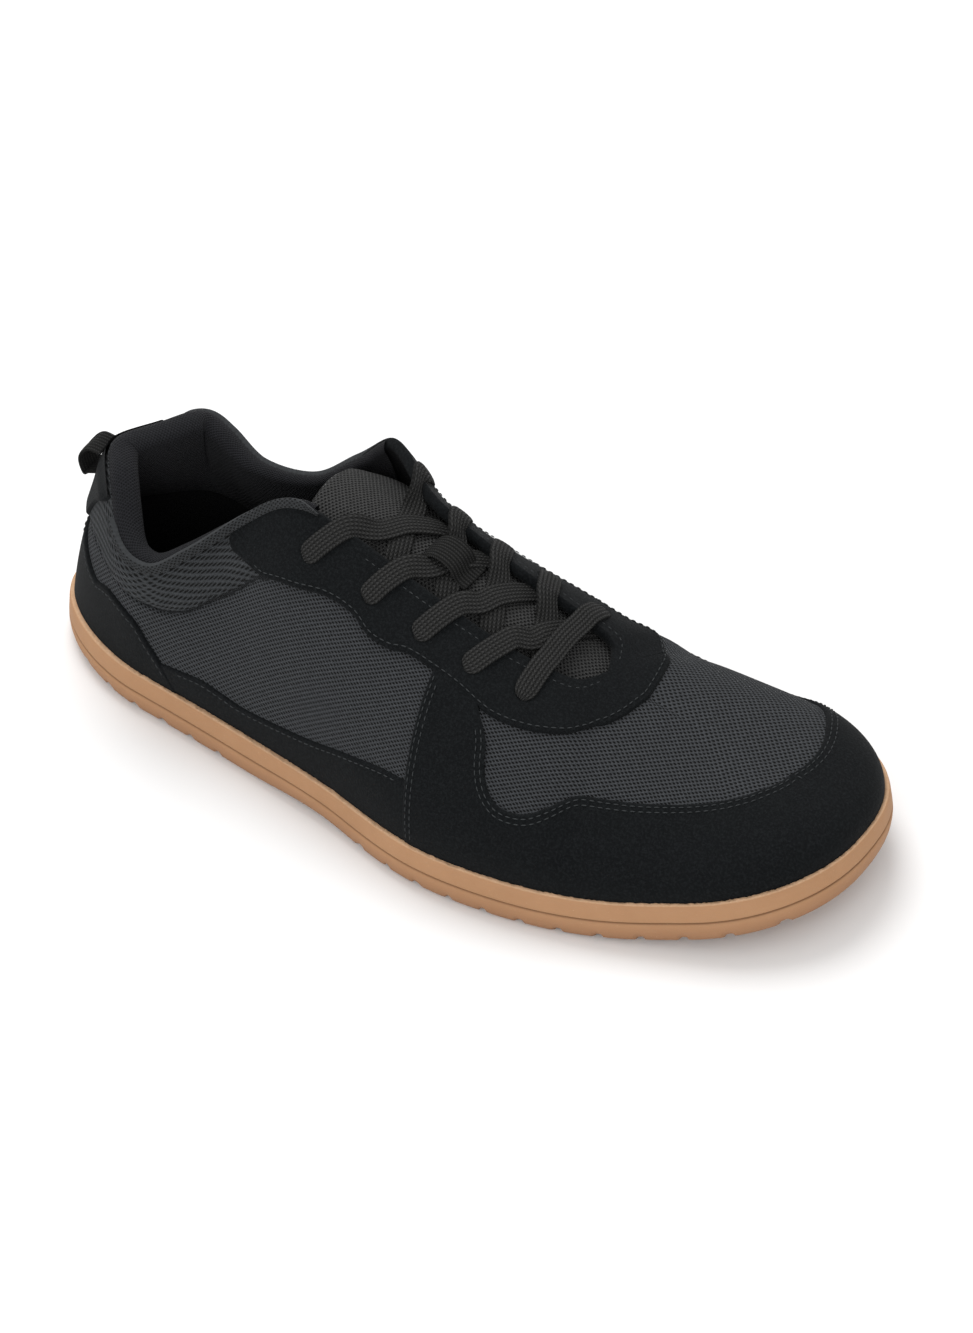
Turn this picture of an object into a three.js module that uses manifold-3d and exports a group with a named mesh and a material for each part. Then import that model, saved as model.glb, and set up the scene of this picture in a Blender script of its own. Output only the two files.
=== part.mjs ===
// A barefoot lace shoe for the right foot: a cupped rubber outsole, a knit upper
// with soft overlays, a padded collar, a tongue and a flat lace.
// +X points to the toe, -Y to the outer (lateral) side, +Z up, in millimetres.
// The origin is on the floor, under the middle of the shoe.

import * as THREE from 'three';
import { mergeVertices } from 'three/addons/utils/BufferGeometryUtils.js';
import Module from 'manifold-3d';

const wasm = await Module();
wasm.setup();

// Driving sizes.
const length = 290;            // outsole, heel to toe
const ballWidth = 106;         // outsole at the ball of the foot
const heelRound = 44;          // length of the rounded heel end
const toeRound = 40;           // length of the rounded toe end
const toeFullness = 2.4;       // 2 is an ellipse, more is squarer
const instepHeight = 92;       // top of the lacing, over the floor
const rimHeight = 15.7;        // outsole cup, over the floor
const rimWidth = 3;            // wall of the outsole cup
const floorThickness = 5.5;    // outsole under the foot
const toeSpring = 13.2;        // lift of the toe tip
const waistRelief = 1.6;        // hollow under the arch
const sideGroove = 0.8;        // depth of the line around the outsole's side
const treadDepth = 1.4;
const treadWidth = 2.6;
const insoleThickness = 3.5;
const insoleSeat = 0.3;        // room under the insole where the outsole bends up
const upperWall = 2;
const overlayThickness = 1;
const collarPad = 6;           // padding at the heel and the ankles
const collarPadEnd = 2.4;      // padding where it runs out at the lacing
const collarDepth = 30;        // how far the padding reaches down inside
const tongueThickness = 3;
const laceWidth = 7.6;
const laceThickness = 1.6;
const eyeletDiameter = 4.6;
const loopWidth = 10;          // webbing of the heel loop
const loopThickness = 1.3;
const loopReach = 8.2;         // how far it stands off the heel
const keeperWidth = 6;         // webbing of the lace keeper on the tongue
const clearance = 0.3;         // between pieces that meet

// Facets.
const halfStations = 26;       // along one side, heel to toe
const wallRows = 7;            // from the rim of the outsole up to the edge
const eyeletSides = 8;
const punchDepth = 12;          // a cutter for an eyelet, through all layers

const percent = 0.01;

// A smooth curve through the rows of a table, with the slopes of its neighbours.
function smooth(xs, ys, x) {
  const last = xs.length - 1;
  const at = Math.min(Math.max(x, xs[0]), xs[last]);
  let i = 0;
  while (i < last - 1 && at >= xs[i + 1]) i += 1;
  const slope = (k) => {
    const a = Math.max(k - 1, 0);
    const b = Math.min(k + 1, last);
    return (ys[b] - ys[a]) / (xs[b] - xs[a]);
  };
  const h = xs[i + 1] - xs[i];
  const t = (at - xs[i]) / h;
  const t2 = t * t;
  const t3 = t2 * t;
  return (2 * t3 - 3 * t2 + 1) * ys[i] + (t3 - 2 * t2 + t) * h * slope(i)
    + (3 * t2 - 2 * t3) * ys[i + 1] + (t3 - t2) * h * slope(i + 1);
}

// A table with named columns: the first is where a row stands, the others are read there.
function table(columns, rows) {
  const read = {};
  const at = rows.map((row) => row[0]);
  columns.forEach((name, c) => {
    const values = rows.map((row) => row[c]);
    read[name] = (x) => smooth(at, values, x);
  });
  return read;
}

const clamp01 = (x) => Math.min(Math.max(x, 0), 1);
const ease = (x) => clamp01(x) ** 2 * (3 - 2 * clamp01(x));

// The outsole's plan: percent of the length from the heel, and percent of the
// ball's width to each side of the long axis.
const plan = table(['at', 'lateral', 'medial'], [
  [0, 19.0, 35.5],
  [12, 24.2, 39.9],
  [27, 31.8, 39.1],
  [42, 40.8, 39.3],
  [55, 50.8, 43.4],
  [66, 51.5, 48.4],
  [77, 46.1, 51.5],
  [88, 35.9, 50.6],
  [100, 25.9, 43.6],
]);

// The long axis at each x in percent of the length, over the heel, lacing and toe.
const spine = table(['at', 'side'], [
  [-50, 7.8],
  [-34, 7.5],
  [-17, 11.3],
  [0, 8.2],
  [17, 7.7],
  [34, 8.5],
  [50, 8.9],
]);

// How steeply the vamp's ridge falls towards the toe, rise over run.
const ridgeFall = table(['at', 'fall'], [
  [-50, 0.28],
  [-7, 0.29],
  [7, 0.32],
  [17, 0.34],
  [22, 0.36],
  [28, 0.33],
  [34, 0.29],
  [50, 0.28],
]);

// The last's sections. at: percent along the outsole. x: percent of the length.
// out: the edge's percent of the ball's width from the long axis. The rest of a
// section is in percent of the instep's height: high, the edge over the floor;
// rise and spread, up and out from the rim; reach, out from the edge. lean: the
// wall's angle at the edge in degrees.
const columns = ['at', 'x', 'out', 'high', 'rise', 'spread', 'reach', 'lean'];
const lateral = table(columns, [
  [0, -43.4, 12.0, 82.9, 32.6, -4.8, 21.0, 80],
  [5, -40.8, 18.0, 79.7, 32.6, -4.2, 22.0, 80],
  [11, -37.4, 24.7, 66.4, 28.3, -2.0, 18.5, 84],
  [16, -33.1, 26.9, 62.9, 26.1, 1.1, 18.0, 86],
  [21, -29.0, 23.6, 71.4, 28.3, 3.3, 21.7, 80],
  [27, -23.1, 15.6, 86.4, 32.6, 3.3, 28.3, 66],
  [33, -17.9, 13.2, 96.4, 34.8, 3.3, 32.6, 52],
  [38, -12.8, 13.2, 94.2, 34.8, 2.7, 32.6, 42],
  [45, -5.9, 13.5, 88.1, 32.6, 2.2, 31.5, 36],
  [53, 1.7, 13.8, 79.7, 28.3, 1.6, 30.4, 28],
  [61, 8.6, 13.8, 72.0, 23.9, 1.6, 29.3, 20],
  [67, 13.8, 12.1, 66.3, 20.7, 1.6, 29.3, 12],
  [71, 16.8, 9.0, 62.6, 18.5, 1.6, 30.4, 5],
  [75, 18.6, 0.0, 60.3, 16.3, 1.6, 30.4, 3],
  [83, 22.1, 0.0, 56.4, 15.4, 1.6, 30.6, 5],
  [92, 27.6, 0.0, 51.6, 15.2, 1.6, 30.3, 4],
  [100, 33.4, 0.0, 47.0, 15.0, 1.6, 28.5, 0],
]);
const medial = table(columns, [
  [0, -43.4, 12.0, 82.9, 32.6, -4.8, 21.0, 80],
  [5, -41.1, 17.5, 82.3, 32.6, -4.2, 22.0, 80],
  [11, -37.9, 25.9, 81.6, 30.4, -1.0, 21.0, 82],
  [16, -34.5, 25.5, 77.0, 28.3, 2.7, 20.7, 86],
  [21, -29.7, 21.7, 70.7, 26.1, 3.3, 19.6, 84],
  [27, -23.4, 21.7, 71.2, 26.1, 3.3, 19.6, 80],
  [33, -18.4, 24.1, 83.0, 30.4, 3.3, 23.9, 70],
  [38, -14.2, 25.9, 94.5, 34.8, 3.3, 28.3, 60],
  [45, -6.9, 14.6, 91.5, 34.0, 2.2, 31.0, 46],
  [53, 1.4, 11.8, 82.3, 29.0, 1.6, 29.0, 36],
  [61, 9.0, 11.1, 73.3, 24.0, 0.6, 27.0, 25],
  [67, 14.1, 10.8, 66.6, 20.0, 0.8, 25.5, 17],
  [71, 17.0, 9.0, 62.6, 18.5, 1.0, 28.0, 5],
  [75, 18.6, 0.0, 60.3, 18.5, 1.6, 33.0, -4],
  [83, 22.1, 0.0, 56.4, 19.0, 1.6, 36.0, -6],
  [92, 27.6, 0.0, 51.6, 18.0, 1.6, 35.0, -4],
  [100, 33.4, 0.0, 47.0, 15.0, 1.6, 28.5, 0],
]);
const throatEnd = 74.9;         // where the lacing's opening closes, percent along
const ridge = table(['at', 'x', 'high'], [
  [71, 16.9, 62.6],
  [75, 18.6, 60.3],
  [83, 22.1, 56.4],
  [92, 27.6, 51.6],
  [100, 33.4, 47.0],
]);
const collarBack = -43.4 * percent * length;
const collarRound = 24;        // length of the collar's rounded back

// Lift of the outsole's underside and of everything on it, at x.
const share = (x) => x / length + 0.5;
const springStart = 0.7;
const spring = (x) => toeSpring * clamp01((share(x) - springStart) / (1 - springStart)) ** 2;
const waistFrom = 0.31;
const waistTo = 0.5;
const waist = (x) => {
  const t = clamp01((share(x) - waistFrom) / (waistTo - waistFrom));
  return waistRelief * Math.sin(Math.PI * t) ** 2;
};

// A point of the plan, moved in by inset. side is -1 lateral, +1 medial; u runs
// from the heel, 0, to the toe, 1, closer together at both ends.
function planPoint(side, u, inset) {
  const halfLength = length / 2 - inset;
  const x = -halfLength * Math.cos(Math.PI * u);
  const at = share(x) / percent;
  const lat = plan.lateral(at) * percent * ballWidth;
  const med = plan.medial(at) * percent * ballWidth;
  const heel = clamp01(1 - (x + halfLength) / heelRound);
  const toe = clamp01(1 - (halfLength - x) / toeRound);
  const round = Math.sqrt(1 - heel ** 2) * (1 - toe ** toeFullness) ** (1 / toeFullness);
  return new THREE.Vector2(x, (med - lat) / 2 + side * ((med + lat) / 2 - inset) * round);
}

const upperInset = rimWidth + clearance;
const spineSide = (x) => spine.side(share(x) / percent - 50) * percent * ballWidth;

// The outside of the upper: u along the side as above, v up the wall from the
// outsole's rim, 0, to the collar, the lacing's edge or the vamp's ridge, 1.
// A section is a cubic curve that leaves the rim upright and reaches the edge
// at the wall's lean.
function last(side, u, v) {
  const sections = side < 0 ? lateral : medial;
  const at = (1 - Math.cos(Math.PI * u)) / 2 / percent;
  const foot = planPoint(side, u, upperInset);
  const step = 0.001;
  const along = planPoint(side, Math.min(u + step, 1), upperInset)
    .sub(planPoint(side, Math.max(u - step, 0), upperInset)).normalize();
  const out = new THREE.Vector2(-side * along.y, side * along.x);
  if (u < step) out.set(-1, 0);
  if (u > 1 - step) out.set(1, 0);
  const edgeLine = at < throatEnd ? sections : ridge;
  const x = edgeLine.x(at) * percent * length;
  const back = clamp01((x - collarBack) / collarRound);
  const roundBack = Math.sqrt(1 - (1 - back) ** 2);
  const half = at < throatEnd ? Math.max(sections.out(at), 0) * percent * ballWidth : 0;
  const edge = new THREE.Vector2(x, spineSide(x) + side * half * roundBack);
  const fan = foot.clone().sub(edge).normalize();
  const turn = ease((at - 45) / 25);
  const away = out.clone().multiplyScalar(1 - turn).addScaledVector(fan, turn).normalize();
  const fall = ridgeFall.fall(share(x) / percent - 50);
  const drop = THREE.MathUtils.degToRad(sections.lean(at)) + Math.atan(fall * away.x) * turn;
  const size = percent * instepHeight;
  const rise = sections.rise(at) * size;
  const spread = sections.spread(at) * size;
  const reach = sections.reach(at) * size;
  const rim = rimHeight + spring(foot.x);
  const high = edgeLine.high(at) * size;
  const p0 = new THREE.Vector3(foot.x, foot.y, rim);
  const p1 = new THREE.Vector3(foot.x + out.x * spread, foot.y + out.y * spread, rim + rise);
  const p2 = new THREE.Vector3(edge.x + away.x * reach * Math.cos(drop),
    edge.y + away.y * reach * Math.cos(drop), high - reach * Math.sin(drop));
  const p3 = new THREE.Vector3(edge.x, edge.y, high);
  const w = 1 - v;
  return p0.multiplyScalar(w ** 3).addScaledVector(p1, 3 * v * w * w)
    .addScaledVector(p2, 3 * v * v * w).addScaledVector(p3, v ** 3);
}

// Outward normal of the last, the mean of both halves where they meet.
function lastNormal(side, u, v) {
  const step = 0.004;
  const one = (s) => {
    const du = last(s, Math.min(u + step, 1), v).sub(last(s, Math.max(u - step, 0), v));
    const dv = last(s, u, v + step).sub(last(s, u, Math.max(v - step, 0)));
    return du.cross(dv).multiplyScalar(-s).normalize();
  };
  const at = (1 - Math.cos(Math.PI * u)) / 2 / percent;
  const shared = u < step || u > 1 - step || (v > 1 - step && at >= throatEnd);
  return shared ? one(-1).add(one(1)).normalize() : one(side);
}

// A closed mesh as a solid that can be joined and cut, and back again.
function toSolid(geometry) {
  const bare = geometry.clone();
  bare.deleteAttribute('normal');
  bare.deleteAttribute('uv');
  const merged = mergeVertices(bare, 1e-4);
  return new wasm.Manifold(new wasm.Mesh({
    numProp: 3,
    vertProperties: Float32Array.from(merged.attributes.position.array),
    triVerts: Uint32Array.from(merged.index.array),
  }));
}

function toGeometry(solid) {
  const mesh = solid.getMesh();
  const points = new Float32Array((mesh.vertProperties.length / mesh.numProp) * 3);
  for (let i = 0; i < points.length / 3; i += 1) {
    for (let c = 0; c < 3; c += 1) points[3 * i + c] = mesh.vertProperties[mesh.numProp * i + c];
  }
  const geometry = new THREE.BufferGeometry();
  geometry.setAttribute('position', new THREE.BufferAttribute(points, 3));
  geometry.setIndex(new THREE.BufferAttribute(Uint32Array.from(mesh.triVerts), 1));
  geometry.computeVertexNormals();
  return geometry;
}

// Collects quads and triangles, shares equal points and drops empty triangles.
class Skin {
  constructor() {
    this.points = [];
    this.faces = [];
    this.known = new Map();
  }

  point(p) {
    const key = [p.x, p.y, p.z].map((c) => Math.round(c * 1e4)).join(' ');
    if (!this.known.has(key)) {
      this.known.set(key, this.points.length);
      this.points.push(p.clone());
    }
    return this.known.get(key);
  }

  triangle(a, b, c) {
    const face = [a, b, c].map((p) => this.point(p));
    if (new Set(face).size === 3) this.faces.push(face);
  }

  quad(a, b, c, d) {
    this.triangle(a, b, c);
    this.triangle(a, c, d);
  }

  // Joins two rows of points, in order.
  strip(first, second) {
    for (let i = 0; i + 1 < first.length; i += 1) {
      this.quad(first[i], first[i + 1], second[i + 1], second[i]);
    }
  }

  geometry() {
    const geometry = new THREE.BufferGeometry();
    const points = new Float32Array(this.points.flatMap((p) => [p.x, p.y, p.z]));
    geometry.setAttribute('position', new THREE.BufferAttribute(points, 3));
    geometry.setIndex(this.faces.flat());
    geometry.computeVertexNormals();
    return geometry;
  }

  solid() {
    return toSolid(this.geometry());
  }
}

// Sections joined in order, each a closed loop of points. The ends are closed by
// strips between the loop's two halves.
function loft(sections, closed) {
  const skin = new Skin();
  const rings = sections.map((ring) => [...ring, ring[0]]);
  for (let i = 0; i + 1 < rings.length; i += 1) skin.strip(rings[i + 1], rings[i]);
  if (closed) {
    skin.strip(rings[0], rings[rings.length - 1]);
  } else {
    for (const [ring, flip] of [[sections[0], false], [sections[sections.length - 1], true]]) {
      const close = (a, b, c) => (flip ? skin.triangle(a, c, b) : skin.triangle(a, b, c));
      for (let lo = 0, hi = ring.length - 1; hi - lo > 1; lo += 1, hi -= 1) {
        close(ring[lo], ring[lo + 1], ring[hi]);
        if (hi - lo > 2) close(ring[lo + 1], ring[hi - 1], ring[hi]);
      }
    }
  }
  return skin;
}

// The stations around the shoe: lateral heel to toe, then medial toe to heel.
const stations = [];
for (let i = 0; i <= halfStations; i += 1) stations.push({ side: -1, u: i / halfStations });
for (let i = halfStations - 1; i > 0; i -= 1) stations.push({ side: 1, u: i / halfStations });

// A piece that runs around the plan: rows of inset and height at x, from the
// middle of the underside, round the edge, to the middle of the top.
function planSolid(rows) {
  const skin = new Skin();
  const rings = rows.map((row) => {
    const ring = stations.map(({ side, u }) => {
      if (row.middle) {
        const p = planPoint(side, u, row.inset);
        const x = p.x * 0.8;
        const y = (planPoint(-1, u, row.inset).y + planPoint(1, u, row.inset).y) / 2;
        return new THREE.Vector3(x, y, row.height(x));
      }
      const p = planPoint(side, u, row.inset(share(planPoint(side, u, 0).x)));
      return new THREE.Vector3(p.x, p.y, row.height(p.x));
    });
    return [...ring, ring[0]];
  });
  for (let i = 0; i + 1 < rings.length; i += 1) skin.strip(rings[i], rings[i + 1]);
  return skin;
}

function makeOutsole() {
  const under = (x) => spring(x) + waist(x);
  const top = (x) => rimHeight + spring(x);
  const level = (part) => (x) => under(x) + (top(x) - under(x)) * part;
  const groove = (s) => 0.1 + sideGroove * ease((s - 0.15) / 0.25);
  const footbed = (x) => floorThickness + spring(x);
  const solid = planSolid([
    { middle: true, inset: 0, height: under },
    { inset: () => 14, height: under },
    { inset: () => 2.6, height: under },
    { inset: () => 0.8, height: level(0.14) },
    { inset: () => 0, height: level(0.34) },
    { inset: () => 0.1, height: level(0.5) },
    { inset: groove, height: level(0.55) },
    { inset: () => 0.3, height: level(0.6) },
    { inset: () => 0.9, height: top },
    { inset: () => rimWidth, height: top },
    { inset: () => rimWidth, height: footbed },
    { middle: true, inset: rimWidth, height: footbed },
  ]).solid();
  // Tread: shallow chevrons across the heel and the forefoot.
  const heelTread = [0.06, 0.1, 0.14, 0.18, 0.22, 0.26].map((s) => ({ s, bow: -0.02 }));
  const foreTread = [];
  for (let s = 0.5; s < 0.97; s += 0.042) foreTread.push({ s, bow: 0.03 });
  let cut = solid;
  for (const { s, bow } of [...heelTread, ...foreTread]) {
    const x = (s - 0.5) * length;
    const reach = ballWidth * 0.7;
    const shape = new THREE.Shape([
      new THREE.Vector2(x - treadWidth / 2 - bow * length, -reach),
      new THREE.Vector2(x + treadWidth / 2 - bow * length, -reach),
      new THREE.Vector2(x + treadWidth / 2, 0),
      new THREE.Vector2(x + treadWidth / 2 - bow * length, reach),
      new THREE.Vector2(x - treadWidth / 2 - bow * length, reach),
      new THREE.Vector2(x - treadWidth / 2, 0),
    ]);
    const high = spring(x - bow * length / 2) + treadDepth;
    const bar = new THREE.ExtrudeGeometry(shape, { depth: high + 5, bevelEnabled: false });
    bar.translate(0, 0, -5);
    cut = cut.subtract(toSolid(bar));
  }
  return toGeometry(cut);
}

function makeInsole() {
  const inset = () => upperInset + upperWall + clearance;
  const low = (x) => floorThickness + clearance + insoleSeat + spring(x);
  const high = (x) => low(x) + insoleThickness;
  return planSolid([
    { middle: true, inset: inset(), height: low },
    { inset, height: low },
    { inset, height: high },
    { middle: true, inset: inset(), height: high },
  ]).geometry();
}

// Outer grid of the upper, one column for each station: two rows down inside the
// outsole's cup, then the wall's rows.
const wallLow = (x) => floorThickness + clearance + spring(x);
const upperGrid = stations.map(({ side, u }) => {
  const foot = last(side, u, 0);
  const column = [foot.clone().setZ(wallLow(foot.x))];
  for (let j = 0; j <= wallRows; j += 1) column.push(last(side, u, j / wallRows));
  return column;
});
const isOpen = ({ u }) => (1 - Math.cos(Math.PI * u)) / 2 / percent < throatEnd;

// Mean normals of the grid, shared where the two halves meet.
const gridNormals = (() => {
  const skin = new Skin();
  for (let k = 0; k < upperGrid.length; k += 1) {
    skin.strip(upperGrid[(k + 1) % upperGrid.length], upperGrid[k]);
  }
  const normals = skin.geometry().attributes.normal;
  return upperGrid.map((column) => column.map((p) => {
    const i = skin.point(p);
    return new THREE.Vector3(normals.getX(i), normals.getY(i), normals.getZ(i));
  }));
})();

// The upper's own form between two offsets from its outside, positive outward.
function form(inner, outer) {
  const skin = new Skin();
  const at = (k, j, offset) => upperGrid[k][j].clone().addScaledVector(gridNormals[k][j], offset);
  const count = upperGrid.length;
  const top = wallRows + 1;
  for (let k = 0; k < count; k += 1) {
    const n = (k + 1) % count;
    for (let j = 0; j < top; j += 1) {
      skin.quad(at(k, j, outer), at(n, j, outer), at(n, j + 1, outer), at(k, j + 1, outer));
      skin.quad(at(k, j, inner), at(k, j + 1, inner), at(n, j + 1, inner), at(n, j, inner));
    }
    skin.quad(at(n, 0, outer), at(k, 0, outer), at(k, 0, inner), at(n, 0, inner));
    if (isOpen(stations[k]) || isOpen(stations[n])) {
      skin.quad(at(k, top, outer), at(n, top, outer), at(n, top, inner), at(k, top, inner));
    }
  }
  return skin.solid();
}

// A cutter over part of the upper: u and the v of its lower and upper border are
// the rows, and it stands well inside and outside of the surface.
const cutterIn = -1.5;
const cutterOut = 4;
const cutterRows = 4;
function cutter(side, rows) {
  const sections = rows.map(([u, low, high]) => {
    const at = (offset) => {
      const line = [];
      for (let j = 0; j <= cutterRows; j += 1) {
        const v = low + ((high - low) * j) / cutterRows;
        line.push(last(side, u, v).addScaledVector(lastNormal(side, u, v), offset));
      }
      return line;
    };
    return [...at(cutterOut), ...at(cutterIn).reverse()];
  });
  const skin = loft(sections, false);
  if (side > 0) skin.faces.forEach((face) => face.reverse());
  return skin.solid();
}

// What a cut leaves, without crumbs or pinholes under a cubic millimetre.
function solidParts(solid) {
  const whole = solid.decompose().filter((piece) => piece.volume() > 1);
  return whole.reduce((sum, piece) => sum.add(piece));
}

const past = 1.06;             // v a little past the edge, so that a cutter clears it
const rimGap = 0.013;          // v just over the outsole's rim
const seamGap = 0.007;         // v between two overlays

// Borders of the overlays, as u, lower v and upper v. The medial side follows the
// lateral one, but its counter and ear stand as the collar does there.
const stayEdge = [
  [0.335, 0.94], [0.352, 0.82], [0.38, 0.71], [0.407, 0.715], [0.45, 0.77],
  [0.485, 0.73], [0.51, 0.765], [0.54, 0.762], [0.585, 0.72], [0.62, 0.745],
  [0.655, 0.762], [0.69, 0.812], [0.72, 0.9], [0.74, 0.97],
];
const stayMedial = [
  [0.375, 0.94], [0.392, 0.82], [0.41, 0.74], [0.43, 0.735], [0.455, 0.765],
  ...stayEdge.slice(5, 9),
  [0.65, 0.745], [0.678, 0.765], [0.701, 0.85], [0.722, 0.92], [0.74, 0.97],
];
const bandFront = [
  [0.568, 0.733], [0.58, 0.683], [0.588, 0.483], [0.595, 0.417], [0.607, 0.38],
  [0.63, 0.41], [0.65, 0.475], [0.68, 0.513], [0.73, 0.545], [0.79, 0.597],
  [0.84, 0.64], [0.89, 0.685], [0.95, 0.722], [1, 0.73],
];
const bandMedial = [
  ...bandFront.slice(0, 6),
  [0.655, 0.37], [0.69, 0.29], [0.73, 0.25], [0.77, 0.28], [0.807, 0.36],
  [0.843, 0.442], [0.895, 0.565], [0.95, 0.665], [1, 0.73],
];
const bandBack = 0.53;
const stayAt = (edge, u) => smooth(edge.map((r) => r[0]), edge.map((r) => r[1]), u);
const counterEdge = [
  [0, 0.4], [0.06, 0.39], [0.135, 0.375], [0.172, 0.37], [0.203, 0.39], [0.228, 0.395],
  [0.247, 0.36], [0.265, 0.25], [0.282, 0.14], [0.297, 0.03],
];
const stripEdge = [
  [0.325, 0.158], [0.35, 0.135], [0.372, 0.122], [0.407, 0.133], [0.443, 0.167],
  [0.477, 0.225], [0.51, 0.283], [bandBack - 0.004, 0.3],
];
const tabEdge = [
  [0, 0.5], [0.05, 0.51], [0.107, 0.545], [0.135, 0.7], [0.158, 0.93],
];

const sheet = form(clearance, clearance + overlayThickness);
function overlay(pieces) {
  let region = null;
  for (const [side, rows] of pieces) {
    const cut = cutter(side, rows);
    region = region ? region.add(cut) : cut;
  }
  return solidParts(sheet.intersect(region));
}

const stayRows = (edge) => edge.map(([u, low]) => [u, low, past]);
const bandRows = (edge, stay) => [
  [bandBack, rimGap, stayAt(stay, bandBack) - seamGap],
  [0.55, rimGap, stayAt(stay, 0.55) - seamGap],
  ...edge.map(([u, high]) => [u, rimGap, Math.min(high, stayAt(stay, u) - seamGap)]),
];
const counterRows = counterEdge.map(([u, high]) => [u, rimGap, high]);
const stripRows = [
  [0.286, 0.13, 0.15], [0.302, rimGap, 0.154],
  ...stripEdge.map(([u, high]) => [u, rimGap, high]),
];
const tabRows = tabEdge.map(([u, low]) => [u, low, past]);

// Eyelets: u of each row on either flap, and v on both.
const eyeletRows = { '-1': [0.415, 0.469, 0.512, 0.553, 0.598], 1: [0.448, 0.485, 0.518, 0.555, 0.6] };
const eyeletV = 0.862;
function eyeletPunches() {
  let punches = null;
  for (const side of [-1, 1]) {
    for (const u of eyeletRows[side]) {
      const pin = new THREE.CylinderGeometry(eyeletDiameter / 2, eyeletDiameter / 2, punchDepth, eyeletSides);
      const normal = lastNormal(side, u, eyeletV);
      pin.applyQuaternion(new THREE.Quaternion().setFromUnitVectors(new THREE.Vector3(0, 1, 0), normal));
      pin.translate(...last(side, u, eyeletV).toArray());
      const solid = toSolid(pin);
      punches = punches ? punches.add(solid) : solid;
    }
  }
  return punches;
}

// A point of a section, by its distance down the wall from the edge and its
// depth inside the upper's inner face.
function inside(side, u, down, depth) {
  const count = 16;
  let v = 1;
  let left = down;
  let here = last(side, u, 1);
  while (left > 0 && v > 0) {
    const next = last(side, u, v - 1 / count);
    const step = next.distanceTo(here);
    if (step > left) {
      v -= left / step / count;
      left = 0;
    } else {
      v -= 1 / count;
      left -= step;
      here = next;
    }
  }
  const normal = lastNormal(side, u, Math.max(v, 0));
  const point = last(side, u, Math.max(v, 0));
  if (down < 0) {
    const up = last(side, u, 1).sub(last(side, u, 0.97)).normalize();
    point.addScaledVector(up, -down);
  }
  return point.addScaledVector(normal, -(upperWall + clearance + depth));
}

// The padded collar lining: from one ear of the lacing round the heel to the
// other, rolled over the edge of the wall.
const collarSteps = 10;        // stations of the upper that it runs over on each side
const collarRise = 2.8;        // top of the roll over the wall's edge
const collarTaper = 0.45;      // share of its length in which the padding runs out
function collarSolid(swell) {
  const sections = [];
  for (let i = -collarSteps; i <= collarSteps; i += 1) {
    const side = i > 0 ? 1 : -1;
    const t = Math.abs(i) / collarSteps;
    const u = Math.abs(i) / halfStations;
    const pad = collarPadEnd + (collarPad - collarPadEnd) * (1 - ease((t - 1 + collarTaper) / collarTaper)) + swell;
    const outer = clearance * (1 + t) - swell;
    sections.push([
      [collarDepth, outer], [collarDepth * 0.65, outer], [collarDepth * 0.3, outer], [1, outer],
      [-1.2, outer], [-1.3, -upperWall], [-2, -upperWall * 0.7], [-collarRise - swell, pad * 0.3],
      [-1.6 - swell, pad * 0.75], [2, pad], [collarDepth * 0.4, pad],
      [collarDepth * 0.8, pad * 0.6], [collarDepth + swell, 0.9],
    ].map(([down, depth]) => inside(side, u, down, depth)));
  }
  const skin = loft(sections, false);
  skin.faces.forEach((face) => face.reverse());
  return skin.solid();
}

// The tongue: percent of the length, half width and height at its middle, arched
// over the instep, and cut back under the flaps and the collar.
const tongue = table(['at', 'x', 'side', 'half', 'high', 'arch'], [
  [0, 21.4, 8.2, 15.1, 52.4, 3.3],
  [20, 14.5, 8.2, 21.7, 63.0, 6.5],
  [45, 5.2, 8.6, 22.6, 75.8, 9.8],
  [70, -4.8, 10.2, 22.6, 86.4, 11.0],
  [88, -12.6, 11.6, 22.8, 91.4, 10.5],
  [100, -17.6, 12.4, 20.0, 94.4, 12.0],
]);
const tongueRows = 9;
const tongueColumns = 8;
function tonguePoint(t, w, lift) {
  const at = t / percent;
  const arch = tongue.arch(at) * percent * instepHeight;
  const half = tongue.half(at) * percent * ballWidth;
  const x = tongue.x(at) * percent * length;
  const y = tongue.side(at) * percent * ballWidth;
  const high = tongue.high(at) * percent * instepHeight;
  return new THREE.Vector3(x, y + w * half, high - arch * w * w + lift);
}

function rawTongue() {
  const sections = [];
  for (let i = 0; i <= tongueRows; i += 1) {
    const row = (lift) => {
      const line = [];
      for (let j = 0; j <= tongueColumns; j += 1) {
        line.push(tonguePoint(i / tongueRows, (2 * j) / tongueColumns - 1, lift));
      }
      return line;
    };
    sections.push([...row(-tongueThickness), ...row(0).reverse()]);
  }
  return loft(sections, false).solid();
}

// A flat band: a path of points with its width's direction, as one solid.
function band(path, width, thickness) {
  const sections = path.map(({ at, across, up }) => {
    const corner = (a, b) => at.clone().addScaledVector(across, (a * width) / 2)
      .addScaledVector(up, (b * thickness) / 2);
    return [corner(-1, -1), corner(1, -1), corner(1, 1), corner(-1, 1)];
  });
  return loft(sections, false);
}

// The path of a band through points, square to the way it runs and to "up".
function bandPath(points, ups) {
  return points.map((at, i) => {
    const before = points[Math.max(i - 1, 0)];
    const after = points[Math.min(i + 1, points.length - 1)];
    const along = after.clone().sub(before).normalize();
    const across = along.clone().cross(ups[i]).normalize();
    return { at, across, up: across.clone().cross(along).normalize() };
  });
}

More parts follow.
